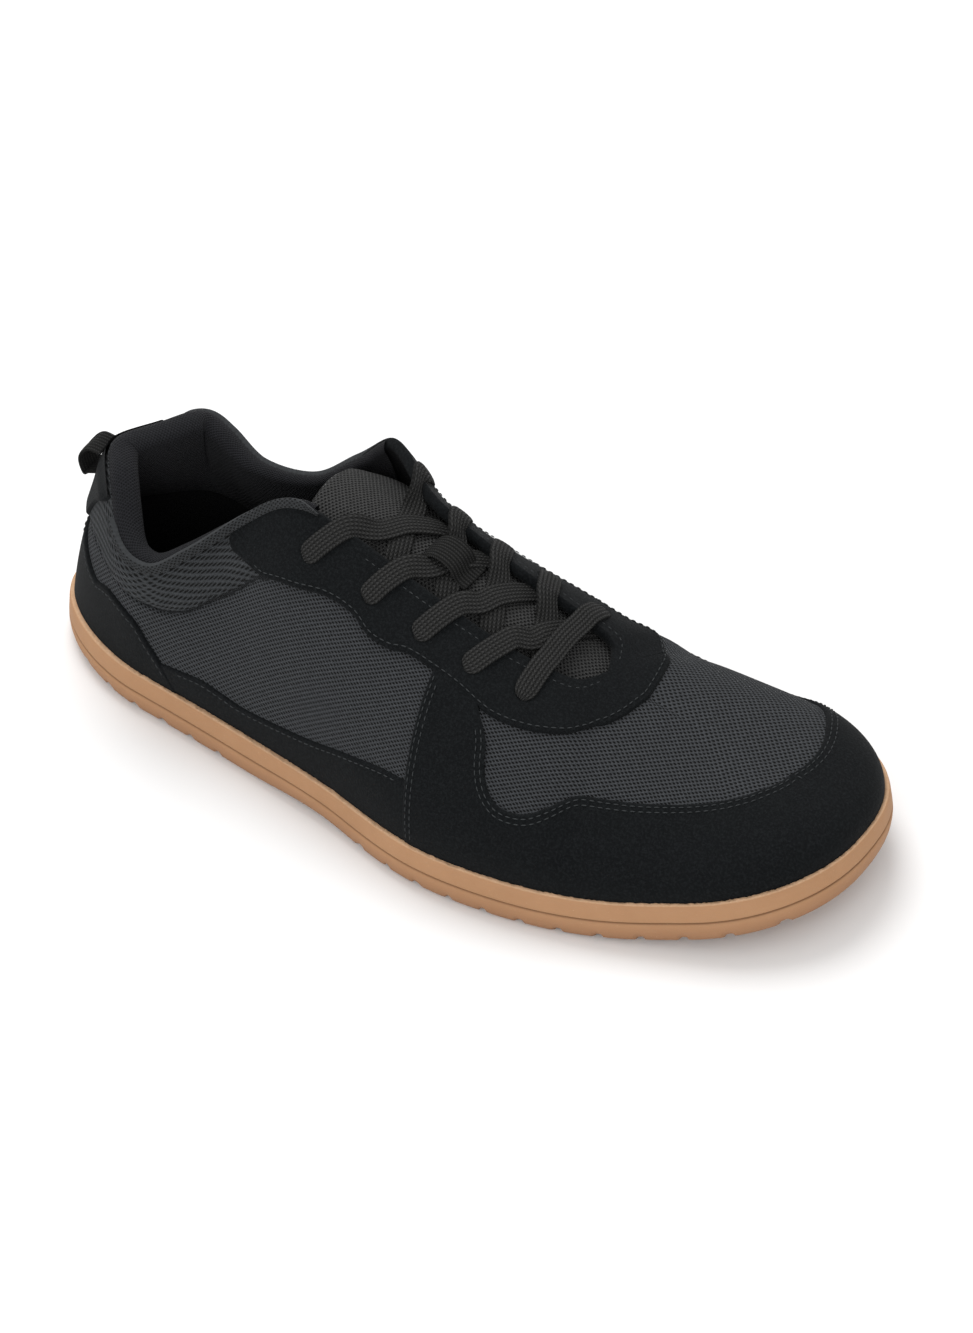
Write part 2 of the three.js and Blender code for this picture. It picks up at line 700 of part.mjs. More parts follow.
// The tongue's top under a place in plan: its height, and its normal.
function tongueTop(x, y) {
  let low = 0;
  let high = 1;
  for (let i = 0; i < 24; i += 1) {
    const mid = (low + high) / 2;
    if (tonguePoint(mid, 0, 0).x > x) low = mid;
    else high = mid;
  }
  const half = tongue.half(low / percent) * percent * ballWidth;
  const w = (y - tonguePoint(low, 0, 0).y) / half;
  const step = 0.02;
  const at = tonguePoint(low, w, 0);
  const along = tonguePoint(low - step, w, 0).sub(tonguePoint(low + step, w, 0));
  const across = tonguePoint(low, w + step, 0).sub(tonguePoint(low, w - step, 0));
  return { at, up: along.cross(across).normalize() };
}

// A place on the tongue, lifted off it.
function overTongue(x, y, lift) {
  const { at, up } = tongueTop(x, y);
  return { at: new THREE.Vector3(x, y, at.z).addScaledVector(up, lift), up };
}

// The lace: a bar at the front row, and a crossing behind each row, whose two
// straps are joined where they cross. In plan a strap runs straight from beside
// one flap, at the next row, to its eyelet on the other. The lateral one lies on top.
const laceHalf = laceThickness / 2;
const laceRoom = 0.2;                                              // under a lace's facets
const laceLift = clearance + laceHalf + laceRoom;                  // over the tongue
const flapLift = clearance + overlayThickness + clearance + laceHalf + 2 * laceRoom;
const laceStart = 0.68 * laceWidth;                                // off the flap's edge
const edgeRise = 2;                                                // more lift at a flap's edge
const besideFlap = 5;                                              // where a strap leaves the tongue
const besideRise = 1.9;
const middleRise = 0.7;                                            // between edge and eyelet
const holeRise = 0.3;                                              // at the eyelet
const sideRise = 1.5;                                              // between crossing and flap
const crossRise = 0.4;                                             // where the straps cross
const barRise = 1.2;                                               // in the middle of the bar
const searchBack = 0.03;                                           // u around an eyelet where
const searchOn = 0.05;                                             // its strap passes the edge
const strapSteps = 3;                                              // sections beyond its places

const flat = (p) => new THREE.Vector2(p.x, p.y);
const eyeletAt = (side, row) => last(side, eyeletRows[side][row], eyeletV);
const onFlap = (side, u, v, lift) => {
  const up = lastNormal(side, u, v);
  return { at: last(side, u, v).addScaledVector(up, lift), up };
};

// The u where a strap passes the flap's edge on its straight way to an eyelet.
function edgeCrossing(side, row, from) {
  const end = flat(eyeletAt(side, row));
  const way = end.clone().sub(from);
  let low = eyeletRows[side][row] - searchBack;
  let high = eyeletRows[side][row] + searchOn;
  const sideOf = (u) => way.cross(flat(last(side, u, 1)).sub(from)) * side;
  const wanted = Math.sign(sideOf(high));
  for (let i = 0; i < 20; i += 1) {
    const mid = (low + high) / 2;
    if (Math.sign(sideOf(mid)) === wanted) high = mid;
    else low = mid;
  }
  return low;
}

// From beside a flap, over its edge, to an eyelet.
function overFlap(side, row, from) {
  const u = edgeCrossing(side, row, from);
  const middle = (u + eyeletRows[side][row]) / 2;
  const edge = onFlap(side, u, 1, flapLift + edgeRise);
  const back = from.clone().sub(flat(edge.at)).setLength(besideFlap);
  const off = { at: edge.at.clone().add(new THREE.Vector3(back.x, back.y, besideRise)), up: edge.up };
  return [
    off,
    edge,
    onFlap(side, middle, (1 + eyeletV) / 2, flapLift + middleRise),
    onFlap(side, eyeletRows[side][row], eyeletV, flapLift + holeRise),
  ];
}

// A flat lace through places, each with the way its upper face looks.
function strap(places) {
  const curve = new THREE.CatmullRomCurve3(places.map((p) => p.at), false, 'centripetal');
  const steps = places.length + strapSteps;
  const points = [];
  const ups = [];
  for (let i = 0; i <= steps; i += 1) {
    const t = (i / steps) * (places.length - 1);
    const k = Math.min(Math.floor(t), places.length - 2);
    points.push(curve.getPoint(i / steps));
    ups.push(places[k].up.clone().lerp(places[k + 1].up, t - k).normalize());
  }
  return band(bandPath(points, ups), laceWidth, laceThickness).solid();
}

function crossing(row) {
  const starts = {};
  for (const side of [-1, 1]) {
    const from = flat(last(-side, eyeletRows[-side][row + 1], 1));
    starts[side] = from.setY(from.y + side * laceStart);
  }
  const way = (side) => flat(eyeletAt(side, row)).sub(starts[side]);
  const gap = starts[1].clone().sub(starts[-1]);
  const meet = gap.cross(way(1)) / way(-1).cross(way(1));
  const middle = starts[-1].clone().addScaledVector(way(-1), meet);
  const straps = [-1, 1].map((side) => {
    const lift = laceLift + crossRise + (side < 0 ? laceThickness - laceRoom : 0);
    const from = starts[side];
    const flap = overFlap(side, row, from);
    const before = from.clone().lerp(middle, 0.5);
    const after = flat(flap[0].at).lerp(middle, 0.5);
    return strap([
      overTongue(from.x, from.y, laceLift),
      overTongue(before.x, before.y, (laceLift + lift) / 2),
      overTongue(middle.x, middle.y, lift),
      overTongue(after.x, after.y, lift + sideRise),
      ...flap,
    ]);
  });
  return solidParts(straps[0].add(straps[1]));
}

function laceBar() {
  const row = eyeletRows[1].length - 1;
  const far = overFlap(1, row, flat(eyeletAt(-1, row)));
  const near = overFlap(-1, row, flat(eyeletAt(1, row)));
  const at = far[0].at.clone().add(near[0].at).divideScalar(2);
  at.z += barRise;
  return strap([...near.reverse(), { at, up: overTongue(at.x, at.y, 0).up }, ...far]);
}

// The webbing that keeps the second crossing in place on the tongue, from its
// front foot over the crossing to its back foot, in percent of the length and
// of the ball's width.
const keeperFront = { x: 2.2, y: 7.0 };
const keeperBack = { x: -3.9, y: 9.2 };
const keeperArch = 2 * laceThickness + clearance + 2.2;
const keeperRoom = 0.3;        // under its feet
const keeperLevel = 0.3;       // share of its length, from the middle, that stays level
const keeperBend = 0.14;       // share in which it comes down
const keeperPlaces = [0, 0.06, 0.2, 0.5, 0.8, 0.94, 1];
function keeper() {
  const places = keeperPlaces.map((t) => {
    const x = (keeperFront.x + (keeperBack.x - keeperFront.x) * t) * percent * length;
    const y = (keeperFront.y + (keeperBack.y - keeperFront.y) * t) * percent * ballWidth;
    const lift = keeperArch * (1 - ease((Math.abs(t - 0.5) - keeperLevel) / keeperBend));
    return overTongue(x, y, clearance + loopThickness / 2 + keeperRoom + lift);
  });
  return band(bandPath(places.map((p) => p.at), places.map((p) => p.up)), keeperWidth, loopThickness);
}

// The heel's pull loop: a webbing bent from the top of the heel tab back on itself.
const loopSteps = 14;
const loopTop = 0.97;          // v on the heel line where it starts, and where it ends
const loopFoot = 0.78;
const loopBend = [             // out, as a share of its reach, and up from its start
  { out: 0.5, up: 0.2 },
  { out: 0.87, up: -2.4 },
  { out: 1, up: -6 },
  { out: 0.85, up: -10.5 },
];
const loopReturn = { out: 0.37, up: -1.2 };
function pullLoop() {
  const off = clearance * 2 + overlayThickness + loopThickness / 2;
  const top = last(-1, 0, loopTop).addScaledVector(lastNormal(-1, 0, loopTop), off);
  const foot = last(-1, 0, loopFoot).addScaledVector(lastNormal(-1, 0, loopFoot), off);
  const away = (from, { out, up }) => new THREE.Vector3(-out * loopReach, 0, up).add(from);
  const points = [top, ...loopBend.map((bend) => away(top, bend)), away(foot, loopReturn), foot];
  const curve = new THREE.CatmullRomCurve3(points, false, 'centripetal');
  const path = [];
  for (let i = 0; i <= loopSteps; i += 1) {
    const at = curve.getPoint(i / loopSteps);
    const along = curve.getTangent(i / loopSteps);
    const across = new THREE.Vector3(0, 1, 0);
    path.push({ at, across, up: across.clone().cross(along).normalize() });
  }
  return band(path, loopWidth, loopThickness);
}

const parts = new THREE.Group();
function add(name, geometry, material) {
  const mesh = new THREE.Mesh(geometry, material);
  mesh.name = name;
  parts.add(mesh);
}

const finish = (color, roughness) => new THREE.MeshStandardMaterial({ color, roughness, metalness: 0 });
const gum = finish(0xbe8c64, 0.7);
const knit = finish(0x3c3d3f, 0.95);
const suede = finish(0x16191b, 0.9);
const lining = finish(0x2b2c2e, 0.95);
const webbing = finish(0x323230, 0.9);

add('outsole', makeOutsole(), gum);
add('insole', makeInsole(), lining);
const punches = eyeletPunches();
add('upper', toGeometry(form(-upperWall, 0).subtract(punches)), knit);
const stay = overlay([[-1, stayRows(stayEdge)], [1, stayRows(stayMedial)]]);
add('eyestay', toGeometry(solidParts(stay.subtract(punches))), suede);
const guard = overlay([[-1, bandRows(bandFront, stayEdge)], [1, bandRows(bandMedial, stayMedial)]]);
add('toe_guard', toGeometry(guard), suede);
add('quarter_strip_lateral', toGeometry(overlay([[-1, stripRows]])), suede);
add('quarter_strip_medial', toGeometry(overlay([[1, stripRows]])), suede);
add('heel_counter', toGeometry(overlay([[-1, counterRows], [1, counterRows]])), suede);
add('heel_tab', toGeometry(overlay([[-1, tabRows], [1, tabRows]])), suede);
add('collar_lining', toGeometry(collarSolid(0)), lining);
const beneath = rawTongue().subtract(form(-upperWall - clearance, 6)).subtract(collarSolid(clearance));
add('tongue', toGeometry(solidParts(beneath)), knit);
for (let row = 0; row < eyeletRows[1].length - 1; row += 1) {
  add(`lace_crossing_${row + 1}`, toGeometry(crossing(row)), webbing);
}
add('lace_bar', toGeometry(laceBar()), webbing);
add('lace_keeper', keeper().geometry(), webbing);
add('pull_loop', pullLoop().geometry(), webbing);

export default parts;
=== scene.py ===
# %% [markdown]
# # A barefoot lace shoe
#
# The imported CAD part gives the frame: where the floor is, how long the shoe is and which
# piece is which. This file dresses it. Each soft piece is a surface worked out from two
# numbers, how far along the shoe and how far up the wall, so that panels, seams, holes and
# stitches all follow the same last. A shoe maker works in much the same order: last, upper,
# overlays, stitches, collar and tongue, laces and sole.

import math

import bmesh
import bpy
import numpy as np
from mathutils import Matrix, Vector


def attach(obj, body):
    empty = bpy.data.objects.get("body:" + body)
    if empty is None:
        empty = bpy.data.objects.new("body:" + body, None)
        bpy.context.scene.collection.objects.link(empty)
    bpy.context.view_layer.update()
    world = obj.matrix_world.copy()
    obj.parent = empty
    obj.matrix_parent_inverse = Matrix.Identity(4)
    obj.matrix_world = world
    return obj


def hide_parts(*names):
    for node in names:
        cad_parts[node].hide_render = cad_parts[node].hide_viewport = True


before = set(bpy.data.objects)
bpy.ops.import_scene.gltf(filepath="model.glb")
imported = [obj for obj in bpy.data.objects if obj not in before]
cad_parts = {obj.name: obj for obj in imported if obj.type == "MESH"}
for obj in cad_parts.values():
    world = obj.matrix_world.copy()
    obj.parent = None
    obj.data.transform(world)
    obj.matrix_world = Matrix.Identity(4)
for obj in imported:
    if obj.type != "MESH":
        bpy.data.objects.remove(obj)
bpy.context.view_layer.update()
MM = 0.001
print("CAD nodes:", len(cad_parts))

# %% [markdown]
# ## Sizes
#
# These are the sizes of the part's source, in millimetres, with a few more for what the
# solids don't have. Two are not the source's: here the keeper is wider and the lace a little
# thinner. They stand in one place, so that each is changed once. Blender counts in metres,
# and MM turns one into the other where a mesh is made.

# %% Sizes
LENGTH = 290.0  # outsole, heel to toe
BALL = 106.0  # outsole at the ball of the foot
HEEL_ROUND = 44.0  # length of the rounded heel end
TOE_ROUND = 40.0  # length of the rounded toe end
TOE_FULLNESS = 2.4  # 2 is an ellipse, more is squarer
INSTEP = 92.0  # top of the lacing, over the floor
RIM = 15.7  # top of the sole's cup, over the floor
RIM_WIDTH = 3.0  # wall of the sole's cup
FLOOR = 5.5  # sole under the foot
TOE_SPRING = 13.2  # lift of the toe's tip
WAIST = 1.6  # hollow under the arch
GAP = 0.3  # between pieces that meet
WALL = 2.0  # the upper's knit
THROAT_END = 74.9  # where the lacing's opening closes, in percent along the shoe
LACE_WIDTH = 7.6
LACE_THICK = 1.5
LACE_RIBS = 6
KEEPER_WIDTH = 11.5
LOOP_WIDTH = 10.0
WEB_RIBS = 9
LINE_LOW, LINE_HIGH = 0.54, 0.556  # the sole's side line, as shares of the sole's height
print("shoe", LENGTH, "mm long,", BALL, "mm wide at the ball")

# %% [markdown]
# ## Smooth curves through tables
#
# A shoe has no straight lines, so its sizes are tables: what a section measures at some
# places along the shoe. A smooth curve runs through the rows of each column. Straight pieces
# between the rows would show as bends, and a curve through all rows at once would swing.


# %% Curves and tables
def smooth(xs, ys, x):
    """A cubic between two rows of a table. Its slope at a row is that from neighbour to neighbour."""
    xs = np.asarray(xs, float)
    ys = np.asarray(ys, float)
    x = np.clip(x, xs[0], xs[-1])
    i = np.clip(np.searchsorted(xs, x, side="right") - 1, 0, len(xs) - 2)
    k = np.arange(len(xs))
    a = np.maximum(k - 1, 0)
    b = np.minimum(k + 1, len(xs) - 1)
    slope = (ys[b] - ys[a]) / (xs[b] - xs[a])
    h = xs[i + 1] - xs[i]
    t = (x - xs[i]) / h
    t2 = t * t
    t3 = t2 * t
    low = (2 * t3 - 3 * t2 + 1) * ys[i] + (t3 - 2 * t2 + t) * h * slope[i]
    return low + (3 * t2 - 2 * t3) * ys[i + 1] + (t3 - t2) * h * slope[i + 1]


def curve(rows, x):
    """The smooth curve through (place, value) rows, read at x."""
    return smooth([row[0] for row in rows], [row[1] for row in rows], x)


def ease(x):
    """0 below 0, 1 above 1, and a soft S between: three squares of x less two cubes."""
    x = np.clip(x, 0, 1)
    return x * x * (3 - 2 * x)


class Table:
    """Rows of numbers under named columns: table.name(at) reads a column where a row stands."""

    def __init__(self, columns, rows):
        at = [row[0] for row in rows]
        for c, name in enumerate(columns):
            values = [row[c] for row in rows]
            setattr(self, name, lambda x, v=values: smooth(at, v, x))


print("halfway between 0 and 1 the S is at", ease(0.5))

# %% [markdown]
# ## The last
#
# A last is the foot-shaped form that a shoe is built on. It could be sculpted, but then no
# seam or eyelet would have a place on it that can be told in numbers. Here it is a function
# of u, from heel to toe, and v, from the sole's rim to the collar's edge, once for each
# side. All tables are in percent of the shoe's length, ball width or instep height.

# %% Tables of the last
plan = Table(["at", "lateral", "medial"], [
    (0, 19.0, 35.5), (12, 24.2, 39.9), (27, 31.8, 39.1), (42, 40.8, 39.3), (55, 50.8, 43.4),
    (66, 51.5, 48.4), (77, 46.1, 51.5), (88, 35.9, 50.6), (100, 25.9, 43.6),
])
spine = Table(["at", "side"], [
    (-50, 7.8), (-34, 7.5), (-17, 11.3), (0, 8.2), (17, 7.7), (34, 8.5), (50, 8.9),
])
ridge_fall = Table(["at", "fall"], [
    (-50, 0.28), (-7, 0.29), (7, 0.32), (17, 0.34), (22, 0.36), (28, 0.33), (34, 0.29), (50, 0.28),
])
COLUMNS = ["at", "x", "out", "high", "rise", "spread", "reach", "lean"]
SECTIONS = {-1: Table(COLUMNS, [
    (0, -43.4, 12.0, 82.9, 32.6, -4.8, 21.0, 80),
    (5, -40.8, 18.0, 79.7, 32.6, -4.2, 22.0, 80),
    (11, -37.4, 24.7, 66.4, 28.3, -2.0, 18.5, 84),
    (16, -33.1, 26.9, 62.9, 26.1, 1.1, 18.0, 86),
    (21, -29.0, 23.6, 71.4, 28.3, 3.3, 21.7, 80),
    (27, -23.1, 15.6, 86.4, 32.6, 3.3, 28.3, 66),
    (33, -17.9, 13.2, 96.4, 34.8, 3.3, 32.6, 52),
    (38, -12.8, 13.2, 94.2, 34.8, 2.7, 32.6, 42),
    (45, -5.9, 13.5, 88.1, 32.6, 2.2, 31.5, 36),
    (53, 1.7, 13.8, 79.7, 28.3, 1.6, 30.4, 28),
    (61, 8.6, 13.8, 72.0, 23.9, 1.6, 29.3, 20),
    (67, 13.8, 12.1, 66.3, 20.7, 1.6, 29.3, 12),
    (71, 16.8, 9.0, 62.6, 18.5, 1.6, 30.4, 5),
    (75, 18.6, 0.0, 60.3, 16.3, 1.6, 30.4, 3),
    (83, 22.1, 0.0, 56.4, 15.4, 1.6, 30.6, 5),
    (92, 27.6, 0.0, 51.6, 15.2, 1.6, 30.3, 4),
    (100, 33.4, 0.0, 47.0, 15.0, 1.6, 28.5, 0),
]), 1: Table(COLUMNS, [
    (0, -43.4, 12.0, 82.9, 32.6, -4.8, 21.0, 80),
    (5, -41.1, 17.5, 82.3, 32.6, -4.2, 22.0, 80),
    (11, -37.9, 25.9, 81.6, 30.4, -1.0, 21.0, 82),
    (16, -34.5, 25.5, 77.0, 28.3, 2.7, 20.7, 86),
    (21, -29.7, 21.7, 70.7, 26.1, 3.3, 19.6, 84),
    (27, -23.4, 21.7, 71.2, 26.1, 3.3, 19.6, 80),
    (33, -18.4, 24.1, 83.0, 30.4, 3.3, 23.9, 70),
    (38, -14.2, 25.9, 94.5, 34.8, 3.3, 28.3, 60),
    (45, -6.9, 14.6, 91.5, 34.0, 2.2, 31.0, 46),
    (53, 1.4, 11.8, 82.3, 29.0, 1.6, 29.0, 36),
    (61, 9.0, 11.1, 73.3, 24.0, 0.6, 27.0, 25),
    (67, 14.1, 10.8, 66.6, 20.0, 0.8, 25.5, 17),
    (71, 17.0, 9.0, 62.6, 18.5, 1.0, 28.0, 5),
    (75, 18.6, 0.0, 60.3, 18.5, 1.6, 33.0, -4),
    (83, 22.1, 0.0, 56.4, 19.0, 1.6, 36.0, -6),
    (92, 27.6, 0.0, 51.6, 18.0, 1.6, 35.0, -4),
    (100, 33.4, 0.0, 47.0, 15.0, 1.6, 28.5, 0),
])}
ridge = Table(["at", "x", "high"], [
    (71, 16.9, 62.6),
    (75, 18.6, 60.3),
    (83, 22.1, 56.4),
    (92, 27.6, 51.6),
    (100, 33.4, 47.0),
])
COLLAR_BACK = -0.434 * LENGTH
COLLAR_ROUND = 24.0
SPRING_START, SPRING_SPAN = 0.2, 0.3
FAN_START, FAN_SPAN = 45, 25
print("each half of the last has", len(COLUMNS) - 1, "columns in its table")


# %% The outline in plan
def percent(u):
    """Percent along the shoe at u, dense at both ends, as the shadow of a half circle's even steps."""
    return (1 - np.cos(np.pi * u)) / 2 * 100


def spring(x):
    """Lift of the toe: a parabola from where the sole leaves the floor."""
    return TOE_SPRING * np.clip((x / LENGTH - SPRING_START) / SPRING_SPAN, 0, 1) ** 2


def plan_point(side, u, inset):
    """The outsole's outline in plan at u, moved in by inset.

    Each side's distance from the long axis is its table's, times the root of one less the
    square of how far a point is into the heel's round. The toe's round has a fuller power.
    """
    half = LENGTH / 2 - inset
    x = -half * np.cos(np.pi * u)
    at = (x / LENGTH + 0.5) * 100
    lat = plan.lateral(at) * 0.01 * BALL
    med = plan.medial(at) * 0.01 * BALL
    heel = np.clip(1 - (x + half) / HEEL_ROUND, 0, 1)
    toe = np.clip(1 - (half - x) / TOE_ROUND, 0, 1)
    around = np.sqrt(np.maximum(1 - heel**2, 0)) * np.maximum(1 - toe**TOE_FULLNESS, 0) ** (1 / TOE_FULLNESS)
    return np.stack([x, (med - lat) / 2 + side * ((med + lat) / 2 - inset) * around], -1)


def spine_side(x):
    """Where the shoe's long axis lies sideways at x."""
    return spine.side(x / LENGTH * 100) * 0.01 * BALL


across = plan_point(1, 0.6, 0) - plan_point(-1, 0.6, 0)
print("the sole is", across[1].round(1), "mm wide at u 0.6")


# %% The outside of the upper
def unit(v):
    """Each row of v, divided by its own length."""
    return v / np.maximum(np.linalg.norm(v, axis=-1, keepdims=True), 1e-9)


def last(side, u, v):
    """The outside of the upper: a cubic from the sole's rim, v 0, to the collar, lacing or ridge, v 1.

    Its first handle goes up and out from the rim. Its second leaves the top edge at the
    table's lean, square to the outline at the heel and fanned out from the ridge at the toe.
    """
    u, v = np.broadcast_arrays(np.asarray(u, float), np.asarray(v, float))
    sections = SECTIONS[side]
    at = percent(u)
    inset = RIM_WIDTH + GAP
    foot = plan_point(side, u, inset)
    step = 0.001
    ahead = plan_point(side, np.minimum(u + step, 1), inset)
    along = unit(ahead - plan_point(side, np.maximum(u - step, 0), inset))
    out = np.stack([-side * along[..., 1], side * along[..., 0]], -1)
    out = np.where((u < step)[..., None], [-1.0, 0.0], out)
    out = np.where((u > 1 - step)[..., None], [1.0, 0.0], out)
    closed = at >= THROAT_END
    x = np.where(closed, ridge.x(at), sections.x(at)) * 0.01 * LENGTH
    high = np.where(closed, ridge.high(at), sections.high(at)) * 0.01 * INSTEP
    back = np.clip((x - COLLAR_BACK) / COLLAR_ROUND, 0, 1)
    half = np.where(closed, 0, np.maximum(sections.out(at), 0) * 0.01 * BALL)
    edge = np.stack([x, spine_side(x) + side * half * np.sqrt(1 - (1 - back) ** 2)], -1)
    turn = ease((at - FAN_START) / FAN_SPAN)
    away = unit(out * (1 - turn)[..., None] + unit(foot - edge) * turn[..., None])
    fall = ridge_fall.fall(x / LENGTH * 100)
    drop = np.radians(sections.lean(at)) + np.arctan(fall * away[..., 0]) * turn
    size = 0.01 * INSTEP
    rim = RIM + spring(foot[..., 0])
    reach = sections.reach(at) * size
    p0 = np.concatenate([foot, rim[..., None]], -1)
    p1 = np.concatenate([foot + out * (sections.spread(at) * size)[..., None],
                         (rim + sections.rise(at) * size)[..., None]], -1)
    p2 = np.concatenate([edge + away * (reach * np.cos(drop))[..., None],
                         (high - reach * np.sin(drop))[..., None]], -1)
    p3 = np.concatenate([edge, high[..., None]], -1)
    w = (1 - v)[..., None]
    v = v[..., None]
    return p0 * w**3 + p1 * 3 * v * w * w + p2 * 3 * v * v * w + p3 * v**3


def normal(side, u, v):
    """Outward normal of the last: the cross product of a small step in u and one in v.

    Where both halves meet it is the mean of theirs.
    """
    u, v = np.broadcast_arrays(np.asarray(u, float), np.asarray(v, float))
    step = 0.004

    def one(s):
        du = last(s, np.minimum(u + step, 1), v) - last(s, np.maximum(u - step, 0), v)
        dv = last(s, u, v + step) - last(s, u, v - step)
        return unit(np.cross(du, dv) * -s)

    shared = (u < step) | (u > 1 - step) | ((v > 1 - step) & (percent(u) >= THROAT_END))
    return np.where(shared[..., None], unit(one(-1) + one(1)), one(side))


def shell(side, u, v, lift):
    """A point of the last, lifted off it along its normal."""
    lift = np.asarray(lift, float)
    return last(side, u, v) + normal(side, u, v) * lift[..., None]


print("throat ends at", last(1, 0.667, 1.0).round(1), "mm")

# %% [markdown]
# ## Meshes from grids
#
# Every piece is one or more grids of points. Neighbours in a grid become a four-sided face,
# and grids that share an edge are merged into one skin. Cubes could be pushed about and
# subdivided instead, but a grid of numbers follows the last exactly. Its texture map is in
# millimetres, so a weave has the same size on every piece.

# %% Helpers that make meshes
CREST_HIGH, CREST_FALL = 74, 0.33  # the instep's ridge at x 0, and how much it falls a millimetre


def grid_faces(rows, columns, start=0, closed=False):
    """Corner numbers of the faces of a grid stored row by row, whose rows may be closed rings.

    A point's number is its row times the number of columns, plus its column.
    """
    r, c = np.meshgrid(np.arange(rows - 1), np.arange(columns if closed else columns - 1), indexing="ij")
    here, there = r * columns, (r + 1) * columns
    after = (c + 1) % columns
    quads = np.stack([here + c, here + after, there + after, there + c], -1)
    return start + quads.reshape(-1, 4)


def piece(name, points, faces, uv, material, stands_for=(), merge=0.0):
    """A named mesh in the shoe's frame, with a texture map in millimetres."""
    mesh = bpy.data.meshes.new(name)
    points = np.asarray(points, float).reshape(-1, 3) * MM
    mesh.from_pydata(points.tolist(), [], np.asarray(faces).tolist())
    layer = mesh.uv_layers.new(name="weave")
    corner = np.empty(len(mesh.loops), dtype=np.int32)
    mesh.loops.foreach_get("vertex_index", corner)
    layer.data.foreach_set("uv", np.asarray(uv, np.float32).reshape(-1, 2)[corner].ravel())
    mesh.polygons.foreach_set("use_smooth", np.ones(len(mesh.polygons), dtype=bool))
    if merge:
        body = bmesh.new()
        body.from_mesh(mesh)
        bmesh.ops.remove_doubles(body, verts=body.verts, dist=merge * MM)
        body.to_mesh(mesh)
        body.free()
    mesh.update()
    obj = bpy.data.objects.new(name, mesh)
    bpy.context.scene.collection.objects.link(obj)
    mesh.materials.append(material)
    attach(obj, "root")
    if stands_for:
        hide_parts(*stands_for)
    return obj


def join(grids):
    """Several (points, uv, flip) grids as one list of points, maps and faces."""
    points, maps, faces, start = [], [], [], 0
    for p, uv, flip in grids:
        rows, columns = p.shape[:2]
        quads = grid_faces(rows, columns, start)
        faces.append(quads[:, ::-1] if flip else quads)
        points.append(p.reshape(-1, 3))
        maps.append(uv.reshape(-1, 2))
        start += rows * columns
    return np.concatenate(points), np.concatenate(faces), np.concatenate(maps)


def knit_map(p):
    """Texture place of a point: along the shoe, and out from the ridge plus down from it."""
    x, y, z = p[..., 0], p[..., 1], p[..., 2]
    side = y - spine_side(x)
    down = np.abs(side) + np.maximum(CREST_HIGH - CREST_FALL * x - z, 0)
    return np.stack([x, np.where(side < 0, -down, down)], -1)


def map_of(along, across):
    """A map from two arrays of millimetres, each spread to the other's shape."""
    return np.stack(np.broadcast_arrays(along, across), -1)


def distances(line):
    """The distance gone at each point of a line: the sum of its steps so far."""
    return np.concatenate([[0], np.cumsum(np.linalg.norm(np.diff(line, axis=0), axis=-1))])


def near(p, line):
    """Distance of each point to a line of points.

    On each straight piece the nearest place is a share of it: the dot product of the way to
    the point with the piece, over the piece's length squared, kept from 0 to 1.
    """
    flat = p.reshape(-1, 3)
    block = 4000
    a, b = line[:-1], line[1:]
    d = b - a
    size = np.maximum((d * d).sum(-1), 1e-9)
    best = np.empty(len(flat))
    for i in range(0, len(flat), block):
        q = flat[i:i + block, None, :] - a[None]
        t = np.clip((q * d[None]).sum(-1) / size, 0, 1)
        best[i:i + block] = np.linalg.norm(q - d[None] * t[..., None], axis=-1).min(1)
    return best.reshape(p.shape[:-1])


def spline(points, count):
    """A smooth curve through points (each a row of numbers), read at count places."""
    points = np.asarray(points, float)
    t = np.arange(len(points), dtype=float)
    at = np.linspace(0, len(points) - 1, count)
    return np.stack([smooth(t, points[:, c], at) for c in range(points.shape[1])], -1)


print("a grid of 3 by 4 points has", len(grid_faces(3, 4)), "faces")

# %% [markdown]
# ## Nodes of a material
#
# A photograph of cloth would stretch and repeat, so each finish is worked out by nodes. The
# helpers below put a node into a material in one line each. Fibres are fine noise, and every
# finish has them at its own size, so that noise is a shared group.


# %% Node helpers
def new_material(name, color, roughness, sheen=0.0):
    """A dull material of one colour, with a little of cloth's sheen."""
    material = bpy.data.materials.new(name)
    material.use_nodes = True
    nodes = material.node_tree.nodes
    shader = nodes["Principled BSDF"]
    shader.inputs["Base Color"].default_value = (*color, 1)
    shader.inputs["Roughness"].default_value = roughness
    shader.inputs["Sheen Weight"].default_value = sheen
    shader.inputs["Sheen Roughness"].default_value = 0.5
    shader.inputs["Specular IOR Level"].default_value = 0.08
    return material, material.node_tree, shader


def node(tree, kind, **values):
    """A node of that kind, with its settings and unlinked inputs given by name."""
    made = tree.nodes.new(kind)
    for key, value in values.items():
        if key.startswith("in_"):
            made.inputs[key[3:].replace("_", " ")].default_value = value
        else:
            setattr(made, key, value)
    return made


def math_node(tree, operation, a, b=None, c=None):
    """One operation on values or sockets."""
    made = tree.nodes.new("ShaderNodeMath")
    made.operation = operation
    for i, value in enumerate((a, b, c)):
        if value is None:
            continue
        if isinstance(value, (int, float)):
            made.inputs[i].default_value = value
        else:
            tree.links.new(value, made.inputs[i])
    return made.outputs[0]


def mix_color(tree, factor, a, b):
    """Colour a at factor 0, colour b at factor 1, and a straight mix between."""
    made = tree.nodes.new("ShaderNodeMix")
    made.data_type = "RGBA"
    for socket, value in ((made.inputs[0], factor), (made.inputs[6], a), (made.inputs[7], b)):
        if hasattr(value, "is_output"):
            tree.links.new(value, socket)
        elif isinstance(value, (int, float)):
            socket.default_value = value
        else:
            socket.default_value = (*value, 1)
    return made.outputs[2]


def shaded(color, factor):
    """A colour with each part times the factor."""
    return tuple(part * factor for part in color)


print("half of white is", shaded((1.0, 1.0, 1.0), 0.5))


